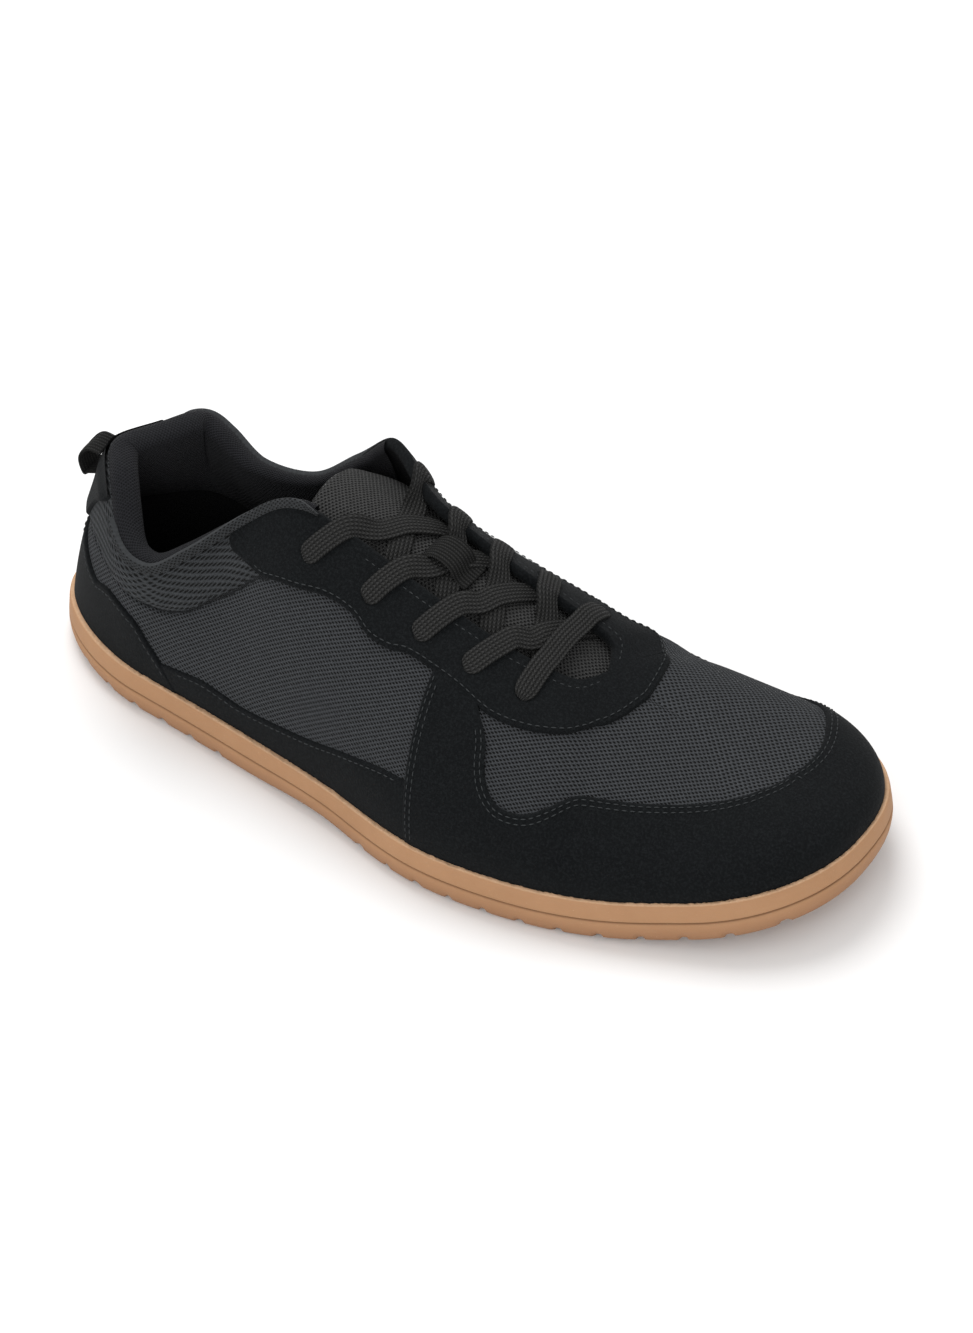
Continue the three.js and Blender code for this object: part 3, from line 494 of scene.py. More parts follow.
# %% Fibre noise, bump and waves
def fibre_group():
    """A shared group: fine fibre noise in the object's space, one value from 0 to 1."""
    group = bpy.data.node_groups.new("fibre", "ShaderNodeTree")
    size = group.interface.new_socket("Size", in_out="INPUT", socket_type="NodeSocketFloat")
    size.default_value = 900.0
    group.interface.new_socket("Value", in_out="OUTPUT", socket_type="NodeSocketFloat")
    enter = group.nodes.new("NodeGroupInput")
    leave = group.nodes.new("NodeGroupOutput")
    place = group.nodes.new("ShaderNodeTexCoord")
    noise = group.nodes.new("ShaderNodeTexNoise")
    noise.inputs["Detail"].default_value = 4.0
    noise.inputs["Roughness"].default_value = 0.7
    group.links.new(place.outputs["Object"], noise.inputs["Vector"])
    group.links.new(enter.outputs["Size"], noise.inputs["Scale"])
    group.links.new(noise.outputs["Fac"], leave.inputs["Value"])
    return group


FIBRE = fibre_group()


def fibre(tree, size):
    """The shared fibre noise at that size, as one value."""
    made = tree.nodes.new("ShaderNodeGroup")
    made.node_tree = FIBRE
    made.inputs["Size"].default_value = size
    return made.outputs["Value"]


def bump(tree, shader, height, distance, strength=1.0):
    """A bump of that height in metres on the shader."""
    made = tree.nodes.new("ShaderNodeBump")
    made.inputs["Strength"].default_value = strength
    made.inputs["Distance"].default_value = distance
    tree.links.new(height, made.inputs["Height"])
    tree.links.new(made.outputs["Normal"], shader.inputs["Normal"])


def weave_axes(tree):
    """The two numbers of the piece's own map, in millimetres."""
    place = tree.nodes.new("ShaderNodeUVMap")
    place.uv_map = "weave"
    parts = tree.nodes.new("ShaderNodeSeparateXYZ")
    tree.links.new(place.outputs["UV"], parts.inputs["Vector"])
    return parts.outputs[0], parts.outputs[1]


def wave(tree, value, pitch):
    """A cosine that repeats every pitch millimetres."""
    turned = math_node(tree, "MULTIPLY", value, 2 * math.pi / pitch)
    return math_node(tree, "COSINE", turned)


print("node groups:", len(bpy.data.node_groups))

# %% [markdown]
# ## Knits
#
# A spacer mesh shows rows of small dark holes, each row shifted by half a hole. Holes cut
# into the mesh would need millions of faces. Two cosines multiplied are high in just such a
# staggered lattice, so they give both the colour and a small bump. The ankle panel, the
# binding, the lining and the tongue are the same knit with other yarns and pitches.


# %% Knits
def lattice(name, yarn, hole, across, along, open_from, depth, rows=0.0):
    """A knit: holes where two waves are both high or both low, so each row is shifted by half.

    across and along are the pitches in millimetres. open_from is how high the product has to
    be for a hole to begin. rows adds a dark line between one row of yarn and the next.
    """
    material, tree, shader = new_material(name, yarn, 0.9, 0.03)
    x, y = weave_axes(tree)
    noise = fibre(tree, 700.0)
    wobble = math_node(tree, "MULTIPLY", noise, 0.35 * across)
    x = math_node(tree, "ADD", x, wobble)
    product = math_node(tree, "MULTIPLY", wave(tree, x, across), wave(tree, y, along))
    spread = math_node(tree, "MULTIPLY_ADD", noise, 0.5, -0.25)
    level = math_node(tree, "ADD", product, spread)
    if rows:
        level = math_node(tree, "MULTIPLY_ADD", wave(tree, y, along / 2), rows, level)
    mask = node(tree, "ShaderNodeMapRange", in_From_Min=open_from, in_From_Max=open_from + 0.45)
    tree.links.new(level, mask.inputs["Value"])
    light = mix_color(tree, noise, shaded(yarn, 0.55), shaded(yarn, 1.5))
    tree.links.new(mix_color(tree, mask.outputs[0], light, hole), shader.inputs["Base Color"])
    bump(tree, shader, math_node(tree, "MULTIPLY", level, -1.0), depth)
    return material


YARN_BLACK = (0.003, 0.003, 0.003)
KNIT = lattice("spacer_mesh", yarn=(0.046, 0.049, 0.053), hole=YARN_BLACK,
               across=1.9, along=2.0, open_from=0.12, depth=0.0005, rows=0.3)
PANEL = lattice("ankle_knit", yarn=(0.042, 0.045, 0.048), hole=(0.006, 0.006, 0.006),
                across=3.6, along=2.3, open_from=0.3, depth=0.0005, rows=0.45)
BOUND = lattice("binding_knit", yarn=(0.034, 0.036, 0.038), hole=(0.009, 0.009, 0.009),
                across=1.7, along=1.3, open_from=0.2, depth=0.0003, rows=0.2)
LINING = lattice("lining_knit", yarn=(0.0145, 0.0148, 0.017), hole=(0.006, 0.006, 0.0065),
                 across=1.1, along=1.5, open_from=0.3, depth=0.0002)
TONGUE = lattice("tongue_mesh", yarn=(0.044, 0.044, 0.0435), hole=(0.006, 0.006, 0.006),
                 across=1.5, along=1.9, open_from=0.2, depth=0.0004, rows=0.2)
# The wall's inside: its lining's own dark grey, darkened further with painted shade deep inside the shoe.
INNER_SHADED = lattice("inner_lining_painted_shade", yarn=(0.005, 0.005, 0.0055), hole=YARN_BLACK,
                across=1.1, along=1.5, open_from=0.4, depth=0.00005)
INSOLE = lattice("insole_knit", yarn=(0.0032, 0.0032, 0.0035), hole=(0.0022, 0.0022, 0.0022),
                 across=1.1, along=1.5, open_from=0.4, depth=0.00003)
print("knits:", len(bpy.data.materials))

# %% [markdown]
# ## Suede, rubber, tape and thread
#
# Microsuede is nearly black with a light nap, so fine noise at two sizes is enough. The gum
# rubber is cloudy, with painted shade that darkens it towards the floor and in the narrow
# groove of its side line, and a rough, pale upper edge. These follow the height in the sole,
# which its map holds. Tape has a weft across the ribs that its mesh already has.


# %% Suede and rubber
def suede_material():
    """Nearly black, cloudy at two greys, with lighter specks where the fine noise is high."""
    material, tree, shader = new_material("microsuede", (0.005, 0.0056, 0.0062), 0.9, 0.02)
    fine = fibre(tree, 1300.0)
    broad = fibre(tree, 60.0)
    speck = node(tree, "ShaderNodeMapRange", in_From_Min=0.45, in_From_Max=0.72)
    tree.links.new(fine, speck.inputs["Value"])
    base = mix_color(tree, broad, (0.0026, 0.0031, 0.0036), (0.0052, 0.0060, 0.0066))
    napped = mix_color(tree, speck.outputs[0], base, (0.0105, 0.012, 0.013))
    tree.links.new(napped, shader.inputs["Base Color"])
    bump(tree, shader, fine, 0.00035, 0.7)
    return material


def rubber_material():
    """Gum rubber: masks over the share of the sole's height lay its colours on one another, two of them
    painted shade: low down and in the side line's groove.
    """
    material, tree, shader = new_material("gum_rubber", (0.46, 0.235, 0.115), 0.62)
    broad = fibre(tree, 35.0)
    fine = fibre(tree, 1500.0)
    speck = node(tree, "ShaderNodeMapRange", in_From_Min=0.66, in_From_Max=0.74)
    tree.links.new(fine, speck.inputs["Value"])
    base = mix_color(tree, broad, (0.35, 0.19, 0.098), (0.455, 0.257, 0.14))
    share = weave_axes(tree)[1]
    # Painted shade: darker towards the floor, over the lower side that curves under.
    side = node(tree, "ShaderNodeMapRange", in_From_Min=0.1, in_From_Max=0.56)
    tree.links.new(share, side.inputs["Value"])
    lower = mix_color(tree, side.outputs[0], (0.33, 0.175, 0.095), base)
    # Painted shade: the narrow groove of the side line is painted dark.
    away = math_node(tree, "ABSOLUTE", math_node(tree, "SUBTRACT", share, (LINE_LOW + LINE_HIGH) / 2))
    line = node(tree, "ShaderNodeMapRange", in_From_Min=0.03, in_From_Max=0.008)
    tree.links.new(away, line.inputs["Value"])
    groove_shaded = mix_color(tree, line.outputs[0], lower, (0.16, 0.08, 0.04))
    rim = node(tree, "ShaderNodeMapRange", in_From_Min=0.965, in_From_Max=0.99)
    tree.links.new(share, rim.inputs["Value"])
    edged = mix_color(tree, math_node(tree, "MULTIPLY", rim.outputs[0], fine), groove_shaded, (0.66, 0.45, 0.29))
    tree.links.new(mix_color(tree, speck.outputs[0], edged, (0.56, 0.37, 0.23)), shader.inputs["Base Color"])
    bump(tree, shader, fine, 0.0002, 0.5)
    shader.inputs["Subsurface Weight"].default_value = 0.05
    shader.inputs["Subsurface Radius"].default_value = (0.004, 0.002, 0.001)
    return material


SUEDE = suede_material()
RUBBER = rubber_material()
print("suede and rubber:", SUEDE.name, RUBBER.name)


# %% Tape and thread
def ribbed_material(name, color, pitch, cross):
    """Woven tape: dark grooves between the ribs of the mesh, and a fine weft across them."""
    material, tree, shader = new_material(name, color, 0.85)
    x, y = weave_axes(tree)
    noise = fibre(tree, 1100.0)
    turned = math_node(tree, "MULTIPLY", y, math.pi / pitch)
    groove = math_node(tree, "ABSOLUTE", math_node(tree, "SINE", turned))
    weft = wave(tree, math_node(tree, "ADD", x, math_node(tree, "MULTIPLY", groove, 0.9)), cross)
    level = math_node(tree, "MULTIPLY_ADD", weft, 0.42, math_node(tree, "MULTIPLY_ADD", noise, 0.9, -0.45))
    level = math_node(tree, "ADD", level, groove)
    shade = node(tree, "ShaderNodeMapRange", in_From_Min=0.2, in_From_Max=1.35)
    tree.links.new(level, shade.inputs["Value"])
    pair = mix_color(tree, shade.outputs[0], shaded(color, 0.42), shaded(color, 1.6))
    tree.links.new(pair, shader.inputs["Base Color"])
    bump(tree, shader, level, 0.0003)
    return material


def thread_material():
    """Twisted yarn: fibre noise shifts its grey a little, and a fine bump breaks its gloss."""
    material, tree, shader = new_material("thread", (0.035, 0.038, 0.040), 0.6)
    noise = fibre(tree, 2200.0)
    twisted = mix_color(tree, noise, (0.016, 0.0175, 0.0185), (0.052, 0.056, 0.058))
    tree.links.new(twisted, shader.inputs["Base Color"])
    bump(tree, shader, noise, 0.0001, 0.5)
    return material


LACE = ribbed_material("lace_braid", (0.024, 0.024, 0.0235), LACE_WIDTH / LACE_RIBS, 1.3)
WEBBING = ribbed_material("webbing", (0.019, 0.019, 0.0185), KEEPER_WIDTH / WEB_RIBS, 0.8)
THREAD = thread_material()
print("materials:", len(bpy.data.materials))

# %% [markdown]
# ## The upper's knit wall
#
# The upper is one hollow wall of knit. A Solidify modifier could give it its thickness, but
# its inside has another cloth, a dark lining made darker still by painted shade deep in the
# shoe. So it is one closed skin of grids: the outside, the inside 2 mm further in, and the
# edge that joins them round the collar and the lacing. Above the seam under the ankle the
# knit is a padded panel of its own, with finer rows that follow the collar, so it swells a
# little there and is pulled in along the seam.

# %% Seam, eyelets and creases
COLLAR_SEAM = [
    (0.0, 0.44), (0.062, 0.445), (0.10, 0.455), (0.137, 0.475), (0.176, 0.514), (0.219, 0.579),
    (0.258, 0.618), (0.286, 0.587), (0.305, 0.582), (0.325, 0.614), (0.346, 0.645), (0.376, 0.714),
]
PANEL_TALL = 60  # millimetres of one v over the ankle
PANEL_SWELL, SWELL_SPAN = 1.9, 6
SWELL_FADE, FADE_START = 0.8, 0.86
SEAM_DIP, SEAM_HALF = 1.1, 1.0
WINDOW_END, WINDOW_FADE = 0.36, 0.03
EYELET_DIP = 1.3
EYELETS = {-1: [0.415, 0.469, 0.512, 0.553, 0.598], 1: [0.448, 0.485, 0.518, 0.555, 0.6]}
EYELET_V = 0.862
EYELET_ROUND = 2.7
CREASES = [  # side, middle u and v, width in u and in v, height
    (-1, 0.50, 0.62, 0.02, 0.30, -0.5),
    (-1, 0.455, 0.42, 0.05, 0.16, 0.5),
    (-1, 0.40, 0.36, 0.05, 0.14, -0.4),
    (1, 0.50, 0.50, 0.03, 0.30, -0.6),
    (-1, 0.70, 0.75, 0.02, 0.12, -0.25),
    (1, 0.66, 0.60, 0.02, 0.2, -0.4),
]


def eyelet_dent(side, u, v):
    """1 in the middle of an eyelet, falling off round its edge.

    It is e to the power of minus r to the fourth, r being the distance in eyelet radii.
    """
    p = last(side, u, v)
    rows = np.array(EYELETS[side])
    dent = np.zeros(p.shape[:-1])
    for hole in last(side, rows, np.full(len(rows), EYELET_V)):
        dent = np.maximum(dent, np.exp(-((np.linalg.norm(p - hole, axis=-1) / EYELET_ROUND) ** 4)))
    return dent


def knit_lift(side, u, v):
    """How far the knit stands off the last.

    The padded panel swells over its seam and thins towards the edge, the seam is a narrow
    bell-shaped dip, and each crease is a wide bell in u and v. Eyelets are dips too.
    """
    over = (v - curve(COLLAR_SEAM, u)) * PANEL_TALL
    window = 1 - ease((u - WINDOW_END) / WINDOW_FADE)
    fade = 1 - SWELL_FADE * ease((v - FADE_START) / (1 - FADE_START))
    swell = PANEL_SWELL * ease(over / SWELL_SPAN) * fade
    dip = -SEAM_DIP * np.exp(-((over / SEAM_HALF) ** 2))
    lift = (swell + dip) * window
    for s, cu, cv, wu, wv, high in CREASES:
        if s == side:
            lift = lift + high * np.exp(-(((u - cu) / wu) ** 2) - ((v - cv) / wv) ** 2)
    return lift - EYELET_DIP * eyelet_dent(side, u, v)


print("the seam dips to", knit_lift(-1, 0.2, curve(COLLAR_SEAM, 0.2)).round(2), "mm at u 0.2")

# %% The knit wall
WALL_COLUMNS, WALL_ROWS = 240, 64
PANEL_END = 0.385
PANEL_SHIFT = 500.0
RUN_ROW = 40  # the row of the wall along which the panel's map is measured
LIP = 0.4  # percent by which the top edge's strip passes the end of the lacing


def wall_grid(side, lift=None):
    """Half of the wall from heel to toe, with one more row at its foot, down inside the sole's cup."""
    u = np.linspace(0, 1, WALL_COLUMNS)[:, None]
    v = np.linspace(0, 1, WALL_ROWS)[None, :]
    p = shell(side, u, v, knit_lift(side, u, v) if lift is None else lift)
    foot = p[:, :1].copy()
    foot[..., 2] = FLOOR + GAP + spring(foot[..., 0])
    return np.concatenate([foot, p], 1)


def wall_map(p):
    """The knit's map, but on the ankle panel rows that run along the collar.

    Down is the sum of the steps from the top edge, along is that from the heel. The panel's
    rows lie half a metre away from the others, which tells them apart later.
    """
    u = np.linspace(0, 1, p.shape[0])[:, None]
    v = np.append(0, np.linspace(0, 1, p.shape[1] - 1))[None]
    panel = (v > curve(COLLAR_SEAM, u)) & (u < PANEL_END)
    steps = np.linalg.norm(np.diff(p[:, ::-1], axis=1, prepend=p[:, -1:]), axis=-1)
    down = np.cumsum(steps, 1)[:, ::-1]
    steps = np.linalg.norm(np.diff(p, axis=0, prepend=p[:1]), axis=-1)
    along = np.cumsum(steps, 0)[:, RUN_ROW:RUN_ROW + 1]
    return np.where(panel[..., None], map_of(along, down + PANEL_SHIFT), knit_map(p))


def wall_materials(mesh):
    """1 for the faces of the ankle panel and 2 for the inner side, told by their shifted maps."""
    values = np.empty(len(mesh.loops) * 2, np.float32)
    mesh.uv_layers["weave"].data.foreach_get("uv", values)
    high = (values[1::2] > PANEL_SHIFT / 2).astype(int)
    low = (values[1::2] < -PANEL_SHIFT / 2).astype(int)
    starts = np.empty(len(mesh.polygons), np.int32)
    mesh.polygons.foreach_get("loop_start", starts)
    return (np.minimum.reduceat(high, starts) + 2 * np.minimum.reduceat(low, starts)).astype(np.int32)


grids = []
for side in (-1, 1):
    outer = wall_grid(side)
    inner = wall_grid(side, np.full((WALL_COLUMNS, WALL_ROWS), -WALL))
    grids.append((outer, wall_map(outer), side < 0))
    grids.append((inner, knit_map(inner) - [0, PANEL_SHIFT], side > 0))
    open_part = percent(np.linspace(0, 1, WALL_COLUMNS)) < THROAT_END + LIP
    edge = np.stack([outer[open_part, -1], inner[open_part, -1]], 1)
    grids.append((edge, knit_map(edge), side < 0))
    base = np.stack([outer[:, 0], inner[:, 0]], 1)
    grids.append((base, knit_map(base), side > 0))
points, faces, maps = join(grids)
upper = piece("upper_knit", points, faces, maps, KNIT, ["upper"], merge=0.01)
upper.data.materials.append(PANEL)
upper.data.materials.append(INNER_SHADED)
upper.data.polygons.foreach_set("material_index", wall_materials(upper.data))
print("upper:", len(upper.data.polygons), "faces")

# %% [markdown]
# ## Suede overlays and their stitches
#
# Thin suede is sewn on the knit where a shoe wears: round the lacing, the toe and the heel.
# Each overlay could be cut from the wall's own faces, but then its border would have their
# steps. Here it is a fine grid on the last between a lower and an upper border, whose rows
# are places (u, v). Its height falls off in a quarter round within a millimetre of a cut edge.

# %% Borders of the eyestay and the mudguard
STAY = {-1: [
    (0.335, 0.94), (0.343, 0.86), (0.355, 0.80), (0.38, 0.712), (0.407, 0.715), (0.44, 0.76),
    (0.463, 0.762), (0.48, 0.73), (0.497, 0.737), (0.51, 0.765), (0.53, 0.767), (0.55, 0.757),
    (0.568, 0.733), (0.58, 0.722), (0.591, 0.722), (0.601, 0.727), (0.613, 0.736), (0.624, 0.75),
    (0.636, 0.762), (0.647, 0.765), (0.658, 0.765), (0.673, 0.785), (0.69, 0.829), (0.708, 0.88),
    (0.727, 0.938), (0.742, 0.982), (0.748, 0.999),
], 1: [
    (0.375, 0.94), (0.384, 0.86), (0.395, 0.80), (0.415, 0.74), (0.435, 0.735), (0.455, 0.76),
    (0.47, 0.762), (0.485, 0.73), (0.5, 0.735), (0.51, 0.76), (0.53, 0.765), (0.55, 0.755),
    (0.568, 0.733), (0.585, 0.717), (0.605, 0.708), (0.63, 0.704), (0.655, 0.71), (0.675, 0.742),
    (0.70, 0.842), (0.723, 0.922), (0.742, 0.982), (0.748, 0.999),
]}
BAND_BACK = 0.53
BAND_MEETS = 0.568  # where the mudguard's border comes out from under the eyestay
BAND = {-1: [
    (0.545, 0.76), (0.560, 0.742), (0.568, 0.733), (0.576, 0.70), (0.583, 0.62), (0.587, 0.52),
    (0.593, 0.44), (0.602, 0.392), (0.612, 0.383), (0.625, 0.40), (0.64, 0.452), (0.655, 0.495),
    (0.67, 0.512), (0.69, 0.524), (0.72, 0.540), (0.75, 0.560), (0.78, 0.583), (0.809, 0.607),
    (0.829, 0.625), (0.851, 0.647), (0.876, 0.671), (0.906, 0.70), (0.943, 0.722), (0.98, 0.729),
    (1.0, 0.727),
], 1: [
    (0.545, 0.755), (0.560, 0.740), (0.568, 0.733), (0.576, 0.70), (0.583, 0.62), (0.587, 0.52),
    (0.593, 0.44), (0.602, 0.395), (0.615, 0.385), (0.635, 0.375), (0.66, 0.335), (0.685, 0.29),
    (0.71, 0.26), (0.74, 0.25), (0.775, 0.30), (0.804, 0.377), (0.839, 0.465), (0.871, 0.529),
    (0.904, 0.591), (0.938, 0.65), (0.975, 0.70), (1.0, 0.727),
]}
print("border rows:", [len(table[side]) for table in (STAY, BAND) for side in (-1, 1)])

# %% Borders of the counter, the strips and the heel tab
COUNTER = [
    (0.0, 0.37), (0.06, 0.355), (0.11, 0.315), (0.145, 0.28), (0.163, 0.28), (0.18, 0.325), (0.20, 0.375),
    (0.225, 0.396), (0.246, 0.372), (0.265, 0.247), (0.282, 0.13), (0.297, 0.01),
]
STRIP = [
    (0.278, 0.135), (0.292, 0.15), (0.325, 0.158), (0.35, 0.135), (0.372, 0.120), (0.407, 0.133),
    (0.443, 0.167), (0.477, 0.225), (0.51, 0.283), (0.53, 0.30),
]
TAB = [
    (0.0, 0.46), (0.04, 0.462), (0.07, 0.475), (0.088, 0.53), (0.097, 0.61), (0.108, 0.69), (0.125, 0.78),
    (0.144, 0.862), (0.157, 0.93), (0.165, 1.0),
]
print("border rows:", len(COUNTER), len(STRIP), len(TAB))

# %% Overlays on the last
U_SIZE, V_SIZE = 230, 55  # millimetres of one unit of u and of v, roughly
EDGE_ROUND = 0.9
EDGE_DROP = 0.5
ROLL_TURNS = [(0.35, 0.75), (0.55, 0.2), (0.5, -0.9), (0.1, -WALL - 0.35), (-1.2, -WALL - 0.4)]


def border(rows, count=260):
    """A border through its rows as count (u, v) places, even along the wall."""
    rows = np.asarray(rows, float)
    steps = np.hypot(np.diff(rows[:, 0]) * U_SIZE, np.diff(rows[:, 1]) * V_SIZE)
    gone = np.concatenate([[0], np.cumsum(steps)])
    at = np.linspace(0, gone[-1], count)
    return np.stack([smooth(gone, rows[:, 0], at), smooth(gone, rows[:, 1], at)], -1)


def read_border(line, u):
    """The v of a border at u, straight between its places."""
    return np.interp(u, line[:, 0], line[:, 1])


def scale_at(side, u, v):
    """Millimetres for one unit of u and of v there: a small step on the last, over its size."""
    e = 0.003
    ahead, behind = np.minimum(u + e, 1), np.maximum(u - e, 0)
    a = np.linalg.norm(last(side, ahead, v) - last(side, behind, v), axis=-1)
    b = np.linalg.norm(last(side, u, v + e) - last(side, u, v - e), axis=-1)
    return a / (ahead - behind), b / (2 * e)


def inset(side, line, distance):
    """The border moved in by a distance in millimetres, square to itself."""
    a, b = scale_at(side, line[:, 0], line[:, 1])
    d = np.gradient(line, axis=0) * np.stack([a, b], -1)
    n = unit(np.stack([-d[:, 1], d[:, 0]], -1)) * distance
    return line + n / np.stack([a, b], -1)


def overlay_grid(side, us, low, high, edges, rows=40, thick=1.0, roll=False, base=0.12):
    """The overlay between low and high at each u, rounded off along its cut edges.

    Its rows are denser at both borders. Near an edge its height is the root of one less the
    square of the share of the round that is left. roll adds rows that turn over the flap's
    edge, each given as a distance up and one outwards from it.
    """
    t = np.linspace(0, 1, rows)
    t = 0.5 - 0.5 * np.cos(np.pi * t) * (0.35 + 0.65 * np.abs(np.cos(np.pi * t)))
    t = (t - t[0]) / (t[-1] - t[0])
    u = us[:, None]
    v = low[:, None] + (high - low)[:, None] * t[None]
    flat = last(side, u, v)
    away = np.min([near(flat, e) for e in edges], axis=0)
    rounded = np.sqrt(1 - (1 - np.clip(away / EDGE_ROUND, 0, 1)) ** 2)
    lift = base - EDGE_DROP + (thick + EDGE_DROP) * rounded
    lift = lift + knit_lift(side, u, v) * (1.0 if not roll else 0.6)
    p = flat + normal(side, u, v) * lift[..., None]
    if roll:
        n = normal(side, us, high)
        rim = last(side, us, high)
        up = unit(last(side, us, high) - last(side, us, high - 0.03))
        extra = [rim + up * a + n * b for a, b in ROLL_TURNS]
        p = np.concatenate([p[:, :-1], np.stack([rim + up * 0.1 + n * 1.05] + extra, 1)], 1)
    return p


def line_on(side, uv, lift=0.0):
    """Places (u, v) as points, lifted off the last."""
    return shell(side, uv[:, 0], uv[:, 1], np.full(len(uv), lift))


stay_line = line_on(-1, border(STAY[-1]))
print("the outer side's eyestay border is", distances(stay_line)[-1].round(), "mm long")

# %% [markdown]
# ## Stitches
#
# Thread shows as a row of short, round grains. A bump line would look painted on, and a real
# thread's loops don't show. So each stitch is a small capsule with two dozen faces, laid
# along a border at an even pitch, and moved in from it by a set distance.

# %% Stitches
ON_STAY, ON_FLAP, ON_BAND, ON_STRIP, ON_TAB = 1.42, 1.12, 1.25, 0.95, 1.5  # lift by the suede below
SAG = 0.12  # how far a stitch's ends sink
DOUBLE_SEAM = (-1.5, -3.2)  # millimetres in from the border, minus where the suede lies below it


def stitches(name, paths, pitch=2.5, long=1.75, thick=0.4):
    """Capsules along lines of (points, normals).

    A capsule's radius along it is the root of one less the fourth power of the place, and
    each is turned so that it lies along its line with the normal up.
    """
    rings, around = 5, 6
    a = np.linspace(-1, 1, rings)
    phi = np.linspace(0, 2 * np.pi, around, endpoint=False)
    radius = np.sqrt(np.maximum(1 - a**4, 0.02))
    form = np.stack([
        np.repeat(a, around) * long / 2,
        (radius[:, None] * np.cos(phi)).ravel() * thick / 2,
        (radius[:, None] * np.sin(phi)).ravel() * thick / 2 - SAG * np.repeat(a**2, around),
    ], -1)
    quads = grid_faces(rings, around, closed=True)
    points, faces, start = [], [], 0
    for line, up in paths:
        gone = distances(line)
        at = np.arange(pitch, gone[-1] - pitch / 2, pitch)
        if len(at) == 0:
            continue
        pick = lambda data, x: np.stack([np.interp(x, gone, data[:, c]) for c in range(3)], -1)
        centre = pick(line, at)
        along = unit(pick(line, at + 0.4) - pick(line, at - 0.4))
        up_at = unit(pick(up, at))
        across = unit(np.cross(up_at, along))
        top = np.cross(along, across)
        local = (form[None, :, 0, None] * along[:, None] + form[None, :, 1, None] * across[:, None]
                 + form[None, :, 2, None] * top[:, None])
        points.append((centre[:, None] + local).reshape(-1, 3))
        count = len(at)
        offset = start + np.arange(count)[:, None, None] * len(form)
        faces.append((quads[None] + offset).reshape(-1, 4))
        start += count * len(form)
    points = np.concatenate(points)
    faces = np.concatenate(faces)
    return piece(name, points, faces, points[:, :2], THREAD)


def seam_path(side, line, distance, lift):
    """A stitch row's points and normals, moved in from a border."""
    uv = inset(side, line, distance)
    uv[:, 1] = np.clip(uv[:, 1], 0.005, 0.995)
    return line_on(side, uv, lift), normal(side, uv[:, 0], uv[:, 1])


rows_of_stitches = []
print("a stitch has 24 faces")

# %% [markdown]
# ## The overlays
#
# The eyestay frames the lacing on both flaps and rolls over their edges. The mudguard runs
# round the toe and ends in a band on each side. A strip runs along the sole behind it, and
# the counter and a tab hold the heel. One helper makes them all from their borders, and each
# leaves its rows of stitches in a list, which is sewn at the end.

# %% Eyestay
STAY_BASE = 0.2  # the eyestay lies on the mudguard's end, so it stands a little higher
throat_u = math.acos(1 - 2 * THROAT_END / 100) / math.pi
stay_grids = []
stay_lines = {}
for side in (-1, 1):
    stay_lines[side] = border(STAY[side])
    edge_line = line_on(side, stay_lines[side])
    start_u, start_v = STAY[side][0]
    us = start_u + (throat_u - start_u) * np.linspace(0, 1, 190)
    back = line_on(side, np.stack([np.full(20, start_u), np.linspace(start_v, 1.0, 20)], -1))
    low = read_border(stay_lines[side], us)
    flap = overlay_grid(side, us, low, np.ones_like(us), [edge_line, back], roll=True, base=STAY_BASE)
    stay_grids.append((flap, knit_map(flap), side < 0))
    us = np.linspace(throat_u, STAY[side][-1][0], 60)
    low = read_border(stay_lines[side], us)
    vamp = overlay_grid(side, us, low, np.ones_like(us), [edge_line], base=STAY_BASE)
    stay_grids.append((vamp, knit_map(vamp), side < 0))
    rows_of_stitches.append(seam_path(side, stay_lines[side][4:-1], 1.7, ON_STAY))
    top = np.stack([np.linspace(0.45, throat_u - 0.004, 200), np.full(200, 0.962)], -1)
    rows_of_stitches.append((line_on(side, top, ON_FLAP), normal(side, top[:, 0], top[:, 1])))
points, faces, maps = join(stay_grids)
eyestay = piece("eyestay_suede", points, faces, maps, SUEDE, ["eyestay"], merge=0.02)
print("eyestay:", len(eyestay.data.polygons), "faces")

# %% Mudguard
UNDER_STAY = 0.012  # how far the mudguard runs in under the eyestay, in v
guard_grids = []
for side in (-1, 1):
    line = border(BAND[side], 400)
    line[:, 0] = np.clip(line[:, 0], None, 1)
    front = line_on(side, line)
    back_high = read_border(stay_lines[side], BAND_BACK) + 0.02
    back = line_on(side, np.stack([np.full(60, BAND_BACK), np.linspace(0, back_high, 60)], -1))
    u1 = np.linspace(BAND_BACK, BAND_MEETS, 50)
    under = read_border(stay_lines[side], u1) + UNDER_STAY
    u2 = np.interp(np.linspace(0, 1, 330), np.linspace(0, 1, len(line) - 40), line[40:, 0])
    u2 = np.unique(np.concatenate([[BAND_MEETS], u2[u2 > BAND_MEETS]]))
    us = np.concatenate([u1, u2[1:]])
    high = np.concatenate([under, read_border(line, u2[1:])])
    high = np.minimum(high, read_border(stay_lines[side], us) + UNDER_STAY)
    grid = overlay_grid(side, us, np.zeros_like(us), high, [front[60:], back], rows=56)
    guard_grids.append((grid, knit_map(grid), side < 0))
    column = np.stack([np.full(80, BAND_BACK), np.linspace(0.01, back_high - 0.03, 80)], -1)
    for path in (line[30:], column):
        for distance in DOUBLE_SEAM:
            rows_of_stitches.append(seam_path(side, path, distance, ON_BAND))
points, faces, maps = join(guard_grids)
mudguard = piece("mudguard_suede", points, faces, maps, SUEDE, ["toe_guard"], merge=0.02)
print("mudguard:", len(mudguard.data.polygons), "faces")

